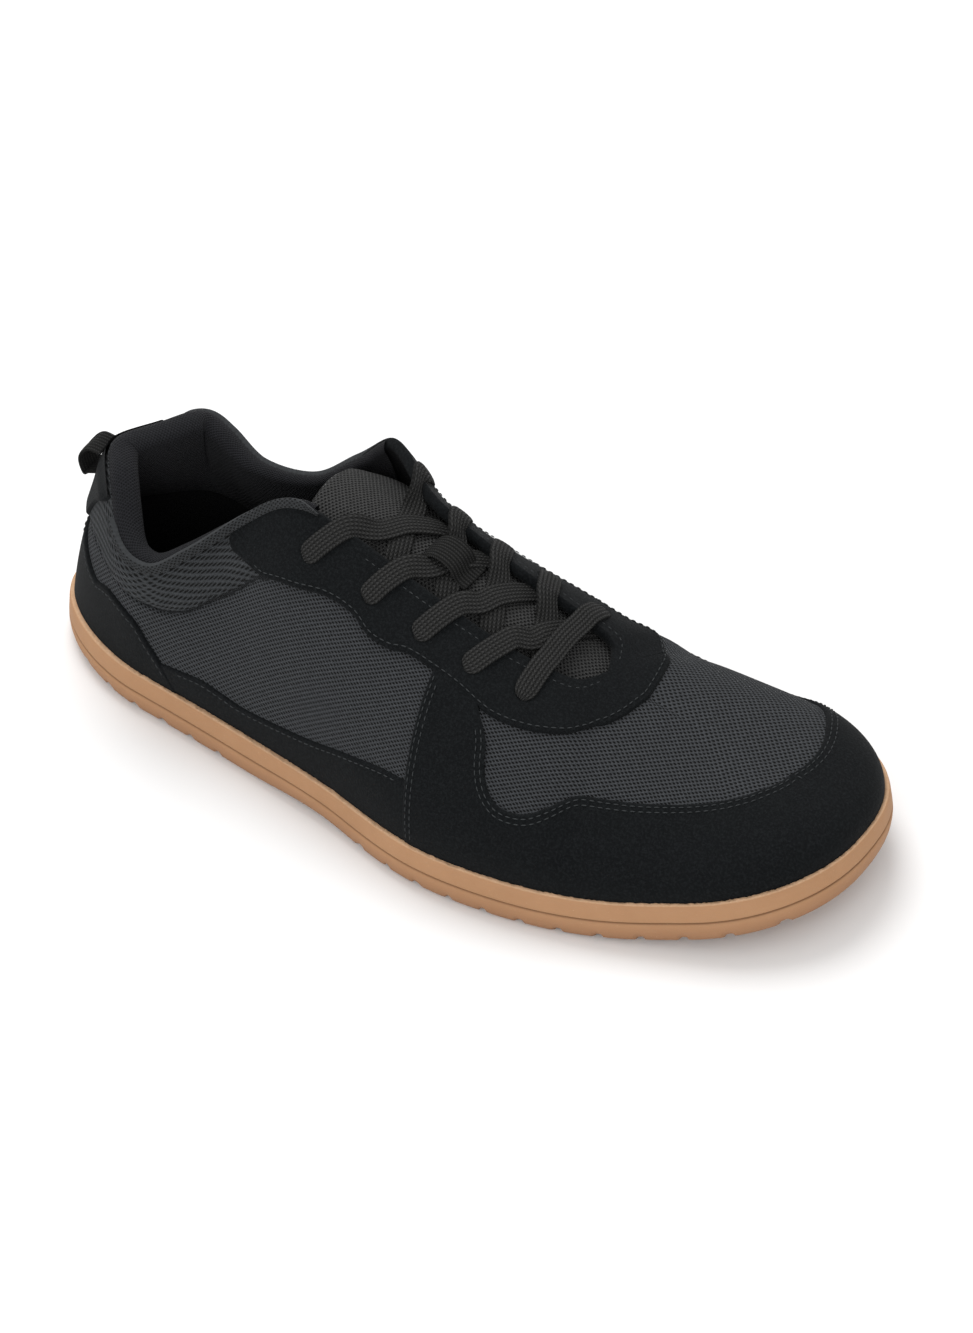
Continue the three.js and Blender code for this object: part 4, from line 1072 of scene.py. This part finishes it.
# %% Strips, counter and heel tab
for side, node_name in ((-1, "quarter_strip_lateral"), (1, "quarter_strip_medial")):
    line = border(STRIP)
    us = np.linspace(STRIP[0][0], STRIP[-1][0] + 0.006, 200)
    high = read_border(line, us)
    grid = overlay_grid(side, us, np.zeros_like(us), high, [line_on(side, line)], rows=24, thick=0.7)
    points, faces, maps = join([(grid, knit_map(grid), side < 0)])
    piece(node_name + "_suede", points, faces, maps, SUEDE, [node_name], merge=0.02)
    rows_of_stitches.append(seam_path(side, line[20:-6], DOUBLE_SEAM[0], ON_STRIP))

counter_grids = []
tab_grids = []
for side in (-1, 1):
    line = border(COUNTER)
    us = np.linspace(0, COUNTER[-1][0], 200)
    grid = overlay_grid(side, us, np.zeros_like(us), read_border(line, us), [line_on(side, line)], rows=36)
    counter_grids.append((grid, knit_map(grid), side < 0))
    rows_of_stitches.append(seam_path(side, line[2:-12], -1.6, ON_BAND))
    line = border(TAB, 200)
    us = np.linspace(0, TAB[-1][0], 110)
    grid = overlay_grid(side, us, read_border(line, us), np.ones_like(us), [line_on(side, line)], rows=36)
    tab_grids.append((grid, knit_map(grid), side < 0))
    rows_of_stitches.append(seam_path(side, line[1:-10], 1.6, ON_TAB))
for node_name, overlay_grids in (("heel_counter", counter_grids), ("heel_tab", tab_grids)):
    points, faces, maps = join(overlay_grids)
    piece(node_name + "_suede", points, faces, maps, SUEDE, [node_name], merge=0.02)
sewn = stitches("stitches", rows_of_stitches)
print("stitches:", len(sewn.data.polygons) // 24)

# %% [markdown]
# ## Collar
#
# The collar is a foam roll under knit: its section leaves the wall, rolls over the edge and
# runs down inside, fat at the heel and thin where it climbs to the lacing. A round tube
# would hang in the air there, so each section is drawn from the wall's own edge: as
# distances down the wall and into the shoe. All sections together make one skin.

# %% Collar section
COLLAR_END = {-1: 0.405, 1: 0.415}
COLLAR_STEPS = 110
PAD_THIN, PAD_MORE = 1.3, 5.2
LIP_OUT = 0.45  # how far the roll's outer edge lies off the wall
PADDED_SIDE = [  # distance down inside, share of the pad's thickness
    (1.5, 1.03), (4, 1.06), (8, 1.04), (13, 0.98), (18, 0.86), (24, 0.62), (30, 0.3), (33, 0.06),
]


def down_wall(side, u, down):
    """The v that lies a distance down the wall from its edge, read from the wall's own length."""
    v = np.linspace(0, 1, 41)
    gone = distances(last(side, np.full_like(v, u), v))
    return np.interp(down, (gone[-1] - gone)[::-1], v[::-1])


def collar_section(side, u, pad):
    """Rows of one collar section: over the wall's edge as half an ellipse, then down the padded inside."""
    arch = 1.3 + 0.36 * pad
    middle = (pad - WALL) / 2 - 0.1
    half = (pad + WALL) / 2 + 0.35
    over = [(-arch * math.sin(t), middle - half * math.cos(t)) for t in np.linspace(0, np.pi, 15)]
    inner = [(down, pad * share) for down, share in PADDED_SIDE]
    form = np.array([(2.0, -WALL - LIP_OUT), (0.8, -WALL - LIP_OUT)] + over + inner)
    down = form[:, 0]
    v = down_wall(side, u, np.maximum(down, 0))
    p = last(side, np.full_like(v, u), v)
    n = normal(side, np.full_like(v, u), np.minimum(v, 0.985))
    up = unit(last(side, u, 1.0) - last(side, u, 0.96))
    return p + up * np.maximum(-down, 0)[:, None] - n * (WALL + GAP + form[:, 1])[:, None]


heel = collar_section(-1, 0.0, PAD_THIN + PAD_MORE)
print("a collar section has", len(heel), "points and is", distances(heel)[-1].round(), "mm round at the heel")

# %% Collar lining
THIN_START, THIN_SPAN = 0.45, 0.45  # where the pad thins, as shares of the way from heel to lacing
TOP_ROW = 9
rings = []
for side in (-1, 1):
    shares = np.linspace(1, 0, COLLAR_STEPS) if side < 0 else np.linspace(0, 1, COLLAR_STEPS)[1:]
    for share in shares:
        pad = PAD_THIN + PAD_MORE * (1 - ease((share - THIN_START) / THIN_SPAN))
        rings.append(collar_section(side, share * COLLAR_END[side], pad))
rings = np.array(rings)
maps = map_of(distances(rings[:, TOP_ROW])[:, None], distances(rings[COLLAR_STEPS])[None])
points, faces, maps = join([(rings, maps, False)])
collar = piece("collar_padding", points, faces, maps, LINING, ["collar_lining"], merge=0.01)
print("collar:", len(collar.data.polygons), "faces")

# %% [markdown]
# ## Tongue
#
# The tongue is a padded sheet under the lacing, open at its top. Cloth could be dropped over
# a foot and let fall, but here the flaps and the lace hold it, so its shape is known: a
# parabola across the foot whose height, width and arch come from a table.

# %% The tongue's surface
tongue = Table(["at", "x", "side", "half", "high", "arch"], [
    (0, 21.4, 8.2, 15.1, 52.4, 3.3),
    (20, 14.5, 8.2, 21.7, 63.0, 6.5),
    (45, 5.2, 8.6, 22.6, 75.8, 9.8),
    (70, -4.8, 10.2, 22.6, 86.4, 11.0),
    (88, -12.6, 11.6, 22.8, 91.4, 10.5),
    (100, -17.6, 12.4, 20.0, 94.4, 12.0),
])


def tongue_point(t, w):
    """The tongue's top: t from front to top end, w across it from -1 to 1, arched as a parabola."""
    at = np.asarray(t, float) * 100
    half = tongue.half(at) * 0.01 * BALL
    z = tongue.high(at) * 0.01 * INSTEP - tongue.arch(at) * 0.01 * INSTEP * w * w
    x, y, z = np.broadcast_arrays(tongue.x(at) * 0.01 * LENGTH, tongue.side(at) * 0.01 * BALL + w * half, z)
    return np.stack([x, y, z], -1)


def tongue_top(x, y):
    """The tongue's surface and its normal over a place in plan."""
    t = np.linspace(0, 1, 400)
    s = np.interp(-x, -tongue.x(t * 100) * 0.01 * LENGTH, t)
    w = (y - tongue.side(s * 100) * 0.01 * BALL) / (tongue.half(s * 100) * 0.01 * BALL)
    e = 0.02
    d1 = tongue_point(s - e, w) - tongue_point(s + e, w)
    d2 = tongue_point(s, w + e) - tongue_point(s, w - e)
    return tongue_point(s, w), unit(np.cross(d1, d2))


print("the tongue's top end is", (tongue_point(1, 0)[2]).round(1), "mm high")

# %% Tongue
TONGUE_THICK = 3.0
END_ROUND = 0.14  # share of its length in which the end rounds off
END_WIDTH = 0.55
EDGE_SOFT = 2.2
TONGUE_HALF, TONGUE_LONG = 22, 110  # millimetres, roughly, for the soft edge alone
SINK_TOP, SINK_LOW = 1.6, 1.4

t = np.linspace(0, 1, 90)[:, None]
w = np.linspace(-1, 1, 60)[None]
end = np.sqrt(np.clip(1 - ((t - (1 - END_ROUND)) / END_ROUND).clip(0, 1) ** 2, 0.0, 1))
narrow = END_WIDTH + (1 - END_WIDTH) * end
edge_side = np.clip((1 - np.abs(w)) * TONGUE_HALF, 0, EDGE_SOFT) / EDGE_SOFT
edge_end = np.clip((1 - t) * TONGUE_LONG, 0, EDGE_SOFT) / EDGE_SOFT
soft = np.sqrt(1 - (1 - edge_side) ** 2) * np.sqrt(1 - (1 - edge_end) ** 2)
quilt = 0.075 * np.sin(t * 40) * np.sin(w * 3)
top = tongue_point(t, w * narrow)
low = top - [0, 0, TONGUE_THICK]
top[..., 2] += (soft - 1) * SINK_TOP + quilt
low[..., 2] -= (soft - 1) * SINK_LOW
flat_map = np.stack([top[..., 0] * 1.12, top[..., 1]], -1)
grids = [(top, flat_map, True), (low, flat_map, False)]
for cut, axis, flip in ((np.s_[-1], 0, True), (np.s_[:, 0], 1, False), (np.s_[:, -1], 1, True)):
    grids.append((np.stack([top[cut], low[cut]], axis), np.stack([flat_map[cut]] * 2, axis), flip))
points, faces, maps = join(grids)
tongue_piece = piece("tongue_padded", points, faces, maps, TONGUE, ["tongue"], merge=0.01)
print("tongue:", len(tongue_piece.data.polygons), "faces")

# %% [markdown]
# ## Tape
#
# The collar's binding, the lace and the webbing are flat tapes. A curve with a bevel would
# turn as it likes, so here a section is carried along a path, and its upper side is given at
# every place. The ribs are in the section, so they catch the light lengthwise.

# %% Tape helpers
TAPE_POINTS = 72
FLAT_POWER, HIGH_POWER = 0.55, 0.45
RIB_DEPTH = 0.16


def tape(path, ups, width, thick, ribs, pinch=None, crown=0.25):
    """A flat tape along a path: an oval section with ribs on both faces, as a closed tube.

    The oval is a circle whose cosine and sine are raised to powers below one. Its height
    is lessened by the root of a sine across it, and crown bends it down at both edges.
    """
    path = np.asarray(path, float)
    along = unit(np.gradient(path, axis=0))
    across = unit(np.cross(along, unit(np.asarray(ups, float))))
    top = np.cross(across, along)
    phi = np.linspace(0, 2 * np.pi, TAPE_POINTS, endpoint=False)
    c, s = np.cos(phi), np.sin(phi)
    flat = np.sign(c) * np.abs(c) ** FLAT_POWER
    high = np.sign(s) * np.abs(s) ** HIGH_POWER
    turn = flat * np.pi * ribs / 2 + np.pi / 2 * (ribs % 2 == 0)
    rib = 1 - RIB_DEPTH + RIB_DEPTH * np.sqrt(np.abs(np.sin(turn)))
    scale = np.ones(len(path)) if pinch is None else np.asarray(pinch, float)
    p = (path[:, None] + across[:, None] * (flat * width / 2)[None, :, None] * scale[:, None, None]
         + top[:, None] * (high * rib * thick / 2 - crown * flat**2)[None, :, None])
    return p, map_of(distances(path)[:, None], (flat * width / 2)[None])


def tube(p, maps):
    """Points, faces and maps of a tube of rings, closed round and capped by its end rings."""
    rings, n = p.shape[:2]
    quads = grid_faces(rings, n, closed=True)
    caps = []
    for ring, flip in ((0, False), (rings - 1, True)):
        k = np.arange(n // 2 - 1)
        face = ring * n + np.stack([k, k + 1, n - 2 - k, (n - 1 - k) % n], -1)
        caps.append(face if flip else face[:, ::-1])
    return p.reshape(-1, 3), np.concatenate([quads] + caps), maps.reshape(-1, 2)


def merge_tubes(tubes):
    """Several tubes as one list of points, faces and maps."""
    points, faces, maps, start = [], [], [], 0
    for p, f, m in tubes:
        points.append(p)
        faces.append(f + start)
        maps.append(m)
        start += len(p)
    return np.concatenate(points), np.concatenate(faces), np.concatenate(maps)


print("a tape's section has", TAPE_POINTS, "points")

# %% [markdown]
# ## Collar binding
#
# A knitted tape binds the collar's edge from the ankle to the lacing. It could be a part of
# the roll, but there it has another cloth and stands a little proud. So it is a tape along
# the wall's edge that rises and sinks with a short table.

# %% Collar binding
BINDING = [(0.185, -0.9), (0.215, 0.1), (0.30, 0.5), (0.38, 0.4), (0.41, -0.4)]  # u, rise
BINDING_WIDTH, BINDING_THICK, BINDING_RIBS = 3.2, 2.6, 4
BINDING_OUT = 0.9
FAR_SINK = 1.4  # how much lower it lies on the inner side
binding_tubes = []
for side in (-1, 1):
    us = np.linspace(BINDING[0][0], BINDING[-1][0], 150)
    rise = curve(BINDING, us)
    n = normal(side, us, np.full_like(us, 0.985))
    up = unit(last(side, us, np.ones_like(us)) - last(side, us, np.full_like(us, 0.96)))
    edge = last(side, us, np.ones_like(us))
    path = edge + n * BINDING_OUT + up * (rise[:, None] - (0 if side < 0 else FAR_SINK))
    taper = 0.3 + 0.7 * ease(np.minimum(us - us[0], us[-1] - us) / 0.02)
    ribbed = tape(path, n, BINDING_WIDTH, BINDING_THICK, BINDING_RIBS, taper, crown=0.0)
    binding_tubes.append(tube(*ribbed))
points, faces, maps = merge_tubes(binding_tubes)
binding = piece("collar_binding", points, faces, maps, BOUND)
print("binding:", len(binding.data.polygons), "faces")

# %% [markdown]
# ## Lace
#
# The lace is a flat braid. A strap comes from under one flap, crosses the tongue, climbs
# over the other flap and dives into its eyelet. It could be one long cord, but most of that
# would be hidden, and each strap is drawn tight, so its way is known. The outer side's strap
# lies on top at each crossing.

# %% Ways over the tongue and the flaps
LACE_LIFT = 0.95
FLAP_LIFT = 2.0
OVER_OTHER, UNDER_OTHER = 1.6, 0.1
EDGE_ROOM = 3.5
OFF_EDGE = 4.5
HIDDEN = 6
PINCH, PINCH_SPAN, PINCH_END = 0.28, 0.17, 0.045


def over_tongue(x, y, lift):
    """A place over the tongue, lifted along its normal, and that normal."""
    p, up = tongue_top(x, y)
    return p + up * lift, up


def on_flap(side, u, v, lift):
    """A place over a flap, lifted along its normal, and that normal."""
    n = normal(side, u, v)
    return last(side, u, v) + n * lift, n


def edge_crossing(side, row, start):
    """The u where the straight way from start to an eyelet passes the flap's edge.

    There the cross product of that way with the way to the edge is least.
    """
    us = EYELETS[side][row] + np.linspace(-0.03, 0.05, 400)
    end = last(side, EYELETS[side][row], EYELET_V)[:2]
    away = last(side, us, np.ones_like(us))[:, :2] - start
    way = end - start
    off = np.abs(way[0] * away[:, 1] - way[1] * away[:, 0])
    return us[off.argmin()]


def flap_places(side, row, start):
    """From just off a flap's edge, over the flap, and down into the eyelet."""
    goal = EYELETS[side][row]
    u = edge_crossing(side, row, start)
    edge, n = on_flap(side, u, 1.0, FLAP_LIFT + 0.15)
    back = start - edge[:2]
    off = edge + np.append(back / np.linalg.norm(back) * OFF_EDGE, 0.0)
    middle = on_flap(side, (u + goal) / 2, (1 + EYELET_V) / 2, FLAP_LIFT + 0.1)
    tip = on_flap(side, goal + (u - goal) * 0.1, EYELET_V + 0.01, FLAP_LIFT - 0.5)
    over = on_flap(side, goal - (u - goal) * 0.12, EYELET_V - 0.016, 0.9)
    sunk = on_flap(side, goal - (u - goal) * 0.1, EYELET_V - 0.012, -1.0)
    return [(off, n), (edge, n), middle, tip, over, sunk]


print("eyelets on each flap:", len(EYELETS[-1]))


# %% Straps
def pinched(share):
    """Width near an eyelet: the root of an S, from narrow inside it to whole a little before it."""
    return PINCH + (1 - PINCH) * np.sqrt(ease((share - PINCH_END) / PINCH_SPAN))


def strap(places, sunk_ends, count=90):
    """A tape of the lace through (point, normal) places, pinched where an end dives into its eyelet."""
    path = spline([p[0] for p in places], count)
    ups = unit(spline([p[1] for p in places], count))
    share = np.linspace(0, 1, count)
    width = np.ones(count)
    if "last" in sunk_ends:
        width = width * pinched(1 - share)
    if "first" in sunk_ends:
        width = width * pinched(share)
    return tube(*tape(path, ups, LACE_WIDTH, LACE_THICK, LACE_RIBS, width))


def crossing(row):
    """Both straps of a crossing: in plan each runs straight from beside one flap to its eyelet."""
    start, goal = {}, {}
    for side in (-1, 1):
        start[side] = last(-side, EYELETS[-side][row + 1], 1.0)[:2] - np.array([0, -side * EDGE_ROOM])
        goal[side] = last(side, EYELETS[side][row], EYELET_V)[:2]
    way = {side: goal[side] - start[side] for side in (-1, 1)}
    gap = start[1] - start[-1]
    meet = (gap[0] * way[1][1] - gap[1] * way[1][0]) / (way[-1][0] * way[1][1] - way[-1][1] * way[1][0])
    middle = start[-1] + way[-1] * meet
    tubes = []
    for side in (-1, 1):
        lift = LACE_LIFT + (OVER_OTHER if side < 0 else UNDER_OTHER)
        flap = flap_places(side, row, start[side])
        hidden = start[side] - way[side] / np.linalg.norm(way[side]) * HIDDEN
        before = (start[side] + middle) / 2
        after = (flap[0][0][:2] + middle) / 2
        tubes.append(strap([
            over_tongue(*hidden, LACE_LIFT - 0.5), over_tongue(*start[side], LACE_LIFT - 0.1),
            over_tongue(*before, (LACE_LIFT + lift) / 2), over_tongue(*middle, lift),
            over_tongue(*after, lift + 0.3)] + flap, ["last"]))
    return tubes


print("a strap is", LACE_WIDTH, "mm wide and", LACE_THICK, "mm thick")

# %% The lace's straps and bar
for row in range(4):
    points, faces, maps = merge_tubes(crossing(row))
    piece(f"lace_straps_{row + 1}", points, faces, maps, LACE, [f"lace_crossing_{row + 1}"])
near_side = flap_places(-1, 4, last(1, EYELETS[1][4], EYELET_V)[:2])
far_side = flap_places(1, 4, last(-1, EYELETS[-1][4], EYELET_V)[:2])
middle = (near_side[0][0] + far_side[0][0]) / 2 + np.array([0, 0, 0.9])
bar_places = near_side[::-1] + [(middle, tongue_top(middle[0], middle[1])[1])] + far_side
points, faces, maps = strap(bar_places, ["first", "last"], count=120)
bar = piece("lace_front_bar", points, faces, maps, LACE, ["lace_bar"])
print("front bar:", len(bar.data.polygons), "faces")

# %% [markdown]
# ## Webbing
#
# A loop of webbing on the tongue keeps the lace in place, and another at the heel helps to
# pull the shoe on. Both could be bent strips with a thickness, but they are the same tape as
# the lace, only wider and thinner, so the same helper makes them.

# %% Lace keeper
KEEPER_FRONT, KEEPER_BACK = (0.021 * LENGTH, 0.079 * BALL), (-0.036 * LENGTH, 0.092 * BALL)
KEEPER_THICK = 1.1
KEEPER_ARCH = [  # share of the way, height over the tongue
    (0.0, 0.8), (0.14, 0.85), (0.24, 1.5), (0.4, 4.4), (0.6, 5.3), (0.8, 4.6), (0.93, 2.6), (1.0, 0.9),
]
front_xy, back_xy = np.array(KEEPER_FRONT), np.array(KEEPER_BACK)
places = [over_tongue(*(front_xy + (back_xy - front_xy) * part), lift) for part, lift in KEEPER_ARCH]
path = spline([p[0] for p in places], 60)
ups = unit(spline([p[1] for p in places], 60))
points, faces, maps = tube(*tape(path, ups, KEEPER_WIDTH, KEEPER_THICK, WEB_RIBS, crown=0.1))
piece("lace_keeper_webbing", points, faces, maps, WEBBING, ["lace_keeper"])
print("the keeper is", distances(path)[-1].round(1), "mm long")

# %% Pull loop
LOOP_REACH = 8.2
LOOP_THICK = 1.3
LOOP_LIFT = 1.9
LOOP_TOP, LOOP_FOOT = 0.945, 0.78
LOOP_BEND = [(0.5, 0.2), (0.87, -2.4), (1, -6), (0.85, -10.5)]  # share of the reach, height
top = shell(-1, 0.0, LOOP_TOP, LOOP_LIFT)
foot = shell(-1, 0.0, LOOP_FOOT, LOOP_LIFT)
loop_points = [top] + [top + [-LOOP_REACH * a, 0, b] for a, b in LOOP_BEND]
loop_points += [foot + [-LOOP_REACH * 0.37, 0, -1.2], foot]
path = spline(loop_points, 60)
tangent = unit(np.gradient(path, axis=0))
ups = np.cross(np.array([0.0, 1.0, 0.0]), tangent)
points, faces, maps = tube(*tape(path, ups, LOOP_WIDTH, LOOP_THICK, WEB_RIBS, crown=0.0))
piece("heel_loop_webbing", points, faces, maps, WEBBING, ["pull_loop"])
print("the pull loop is", distances(path)[-1].round(1), "mm long")

# %% [markdown]
# ## Outsole
#
# The outsole is one rubber cup. Cutting its grooves with booleans would leave long thin
# faces, so it is a stack of closed rings, all of one outline moved in. They run from the
# middle of the underside out, up the side past a fine line, over the rim and down inside.
# A groove of the tread raises the points whose place along the shoe falls inside it.

# %% Tread and arch
TREAD = [(share, -0.02) for share in (0.06, 0.10, 0.14, 0.18, 0.22, 0.26)]  # place, bow
TREAD += [(0.5 + 0.042 * k, 0.03) for k in range(12)]
TREAD_DEEP = 1.4
GROOVE_HALF, GROOVE_SIDE = 1.75, 0.8
ARCH_START, ARCH_SPAN = 0.31, 0.19


def tread(p):
    """How much of a groove is at a point of the underside, from 0 to 1.

    A groove's middle moves along with the distance from the axis, which makes a chevron.
    """
    x, y = p[..., 0], p[..., 1]
    deep = np.zeros_like(x)
    for share, bow in TREAD:
        middle = (share - 0.5) * LENGTH - bow * LENGTH * np.abs(y) / (BALL * 0.7)
        deep = np.maximum(deep, ease((GROOVE_HALF - np.abs(x - middle)) / GROOVE_SIDE))
    return deep


def waist(x):
    """Relief under the arch: the square of a sine over a share of the length."""
    t = np.clip((x / LENGTH + 0.5 - ARCH_START) / ARCH_SPAN, 0, 1)
    return WAIST * np.sin(np.pi * t) ** 2


print("grooves:", len(TREAD))

# %% The sole's rings
SOLE_STATIONS = 430
UNDER_INSET, SOLE_EDGE = 14.0, 2.6
SOLE_SIDE = [  # inset, share of the height, tread depth
    (SOLE_EDGE, 0.0, TREAD_DEEP), (1.9, 0.025, 1.3), (1.3, 0.065, 1.2), (0.8, 0.14, 0.9), (0.4, 0.22, 0.45),
    (0.08, 0.34, 0.0), (0.0, 0.42, 0.0), (0.08, 0.52, 0.0), (0.9, LINE_LOW, 0.0), (0.9, LINE_HIGH, 0.0),
    (0.12, 0.575, 0.0), (0.2, 0.62, 0.0), (0.35, 0.72, 0.0), (0.55, 0.86, 0.0), (0.85, 0.96, 0.0),
    (1.2, 0.993, 0.0), (1.7, 1.0, 0.0), (2.5, 0.998, 0.0), (2.9, 0.985, 0.0),
]
u = np.linspace(0, 1, SOLE_STATIONS)
STATIONS = [(-1, u), (1, u[::-1][1:-1])]


def around(ring_of):
    """One closed ring: what ring_of(side, us) gives for the outer side, then for the inner side back."""
    return np.concatenate([ring_of(side, us) for side, us in STATIONS])


def sole_ring(inset_by, height):
    """The outline moved in, at a height given as a function of x."""
    def one(side, us):
        p = plan_point(side, us, inset_by)
        return np.concatenate([p, height(p[:, 0])[:, None]], -1)
    return around(one)


def inner_ring(inset_by, part, shrink, height):
    """A ring between the middle line, at part 0, and the outline moved in, at part 1."""
    def one(side, us):
        edge = plan_point(side, us, inset_by)
        middle = (plan_point(-1, us, inset_by) + plan_point(1, us, inset_by)) / 2
        middle[:, 0] *= shrink
        p = middle + (edge - middle) * part
        return np.concatenate([p, height(p[:, 0])[:, None]], -1)
    return around(one)


def share_height(part):
    """The height at x that is a share of the way from the underside to the rim."""
    return lambda x: spring(x) + waist(x) + (RIM - waist(x)) * part


print("a ring of the sole has", len(sole_ring(0.0, spring)), "points")

# %% Outsole
UNDER_PARTS, BORDER_PARTS = 5, 5
ROUGH_FROM, ROUGH = 0.98, 0.14
BED_SHARE = 0.9  # what the map says of the hidden bed's height
under = []
for k in range(BORDER_PARTS - 1, 0, -1):
    under.append((SOLE_EDGE + (UNDER_INSET - SOLE_EDGE) * k / BORDER_PARTS, 0.0, TREAD_DEEP))
rings = [inner_ring(UNDER_INSET, k / UNDER_PARTS, 0.92, share_height(0)) for k in range(UNDER_PARTS + 1)]
for ring in rings:
    ring[:, 2] += TREAD_DEEP * tread(ring)
shares = [0.0] * len(rings)
rng = np.random.default_rng(4)
for inset_by, part, deep in under + SOLE_SIDE:
    ring = sole_ring(inset_by, share_height(part))
    ring[:, 2] += deep * tread(ring)
    if part > ROUGH_FROM:
        ring[:, 2] += rng.normal(0, ROUGH, len(ring))
    rings.append(ring)
    shares.append(part)
rings.append(sole_ring(RIM_WIDTH, lambda x: FLOOR + spring(x)))
rings.append(inner_ring(RIM_WIDTH, 0, 0.9, lambda x: FLOOR + spring(x)))
shares += [BED_SHARE, BED_SHARE]
rings = np.array(rings)
faces = grid_faces(len(rings), rings.shape[1], closed=True)
maps = map_of(rings[..., 0], np.array(shares)[:, None])
outsole = piece("outsole_gum", rings, faces[:, ::-1], maps, RUBBER, ["outsole"], merge=0.02)
print("outsole:", len(outsole.data.polygons), "faces")

# %% [markdown]
# ## Insole
#
# A loose sheet of foam with a cloth cover lies in the cup. It hardly shows, so it could be a
# flat plate, but its rounded border catches light through the collar. It is the same stack
# of rings as the outsole, with fewer of them.

# %% Insole
INSOLE_RINGS = [(9.0, 0.0), (5.6, 0.0), (5.6, 3.0), (6.2, 3.4), (8.0, 3.6), (20.0, 3.4)]  # inset, height
INSOLE_MIDDLE = 3.5
rings = []
for inset_by, lift in INSOLE_RINGS:
    rings.append(sole_ring(inset_by, lambda x: FLOOR + GAP + lift + spring(x)))
rings.append(inner_ring(INSOLE_RINGS[-1][0], 0, 0.9, lambda x: FLOOR + GAP + INSOLE_MIDDLE + spring(x)))
rings = np.array(rings)
faces = grid_faces(len(rings), rings.shape[1], closed=True)
faces = faces[:, ::-1]
insole = piece("insole_cloth", rings, faces, rings[..., :2], INSOLE, ["insole"], merge=0.02)
print("insole:", len(insole.data.polygons), "faces")

# %% [markdown]
# ## Studio
#
# A pale floor that runs far back, a white world and two broad lamps give the soft light of
# the picture. The camera stands at the photograph's angle: it was fitted to the outline of
# the sole, so its place is given by angles, a distance and a focal length in pixels.

# %% Floor and light
bpy.ops.mesh.primitive_plane_add(size=30)
floor = bpy.context.active_object
floor.name = "floor"
paper, tree, shader = new_material("paper", (0.86, 0.86, 0.86), 0.9)
floor.data.materials.append(paper)

world = bpy.data.worlds.new("studio")
bpy.context.scene.world = world
world.use_nodes = True
world.node_tree.nodes["Background"].inputs["Color"].default_value = (1.0, 1.0, 1.0, 1)
world.node_tree.nodes["Background"].inputs["Strength"].default_value = 0.85


def lamp(name, place, target, size, power):
    """A round lamp at a place, turned to its target, with its width in metres and power in watts."""
    data = bpy.data.lights.new(name, "AREA")
    data.shape = "DISK"
    data.size = size
    data.energy = power
    obj = bpy.data.objects.new(name, data)
    bpy.context.scene.collection.objects.link(obj)
    obj.location = place
    obj.rotation_mode = "QUATERNION"
    obj.rotation_quaternion = (Vector(target) - Vector(place)).to_track_quat("-Z", "Y")


SHOE_MIDDLE = (0, 0, 0.04)
lamp("key", (-0.5, 0.5, 1.4), SHOE_MIDDLE, 1.0, 14)
lamp("side", (0.4, -1.4, 0.9), SHOE_MIDDLE, 1.2, 7)
print("lamps:", len(bpy.data.lights))

# %% Camera
PHOTO_HIGH = 1333  # pixels, as the focal length is
SENSOR = 24.0
AZ, EL, ROLL = math.radians(32.81), math.radians(42.35), math.radians(2.97)
DISTANCE, FOCAL, SHIFT_X, SHIFT_Y = 2767.5, 8808.7, -9.22, -27.41
TARGET = np.array([0.0, 4.7, 0.0])
back = np.array([math.sin(AZ) * math.cos(EL), -math.cos(AZ) * math.cos(EL), math.sin(EL)])
right = np.array([math.cos(AZ), math.sin(AZ), 0.0])
up = np.cross(back, right)
place = back * DISTANCE - right * SHIFT_X - up * SHIFT_Y + TARGET
c, s = math.cos(ROLL), math.sin(ROLL)
axes = np.stack([c * right - s * up, s * right + c * up, back], -1)
data = bpy.data.cameras.new("camera")
camera = bpy.data.objects.new("camera", data)
bpy.context.scene.collection.objects.link(camera)
camera.rotation_mode = "QUATERNION"
camera.location = place * MM
camera.rotation_quaternion = Matrix(axes.tolist()).to_quaternion()
data.sensor_fit = "VERTICAL"
data.sensor_height = SENSOR
data.sensor_width = SENSOR
data.lens = FOCAL * SENSOR / PHOTO_HIGH
data.clip_end = 100
bpy.context.scene.camera = camera
bpy.context.scene.view_settings.view_transform = "Standard"
bpy.context.scene.view_settings.look = "None"
print("lens:", round(data.lens, 1), "mm")
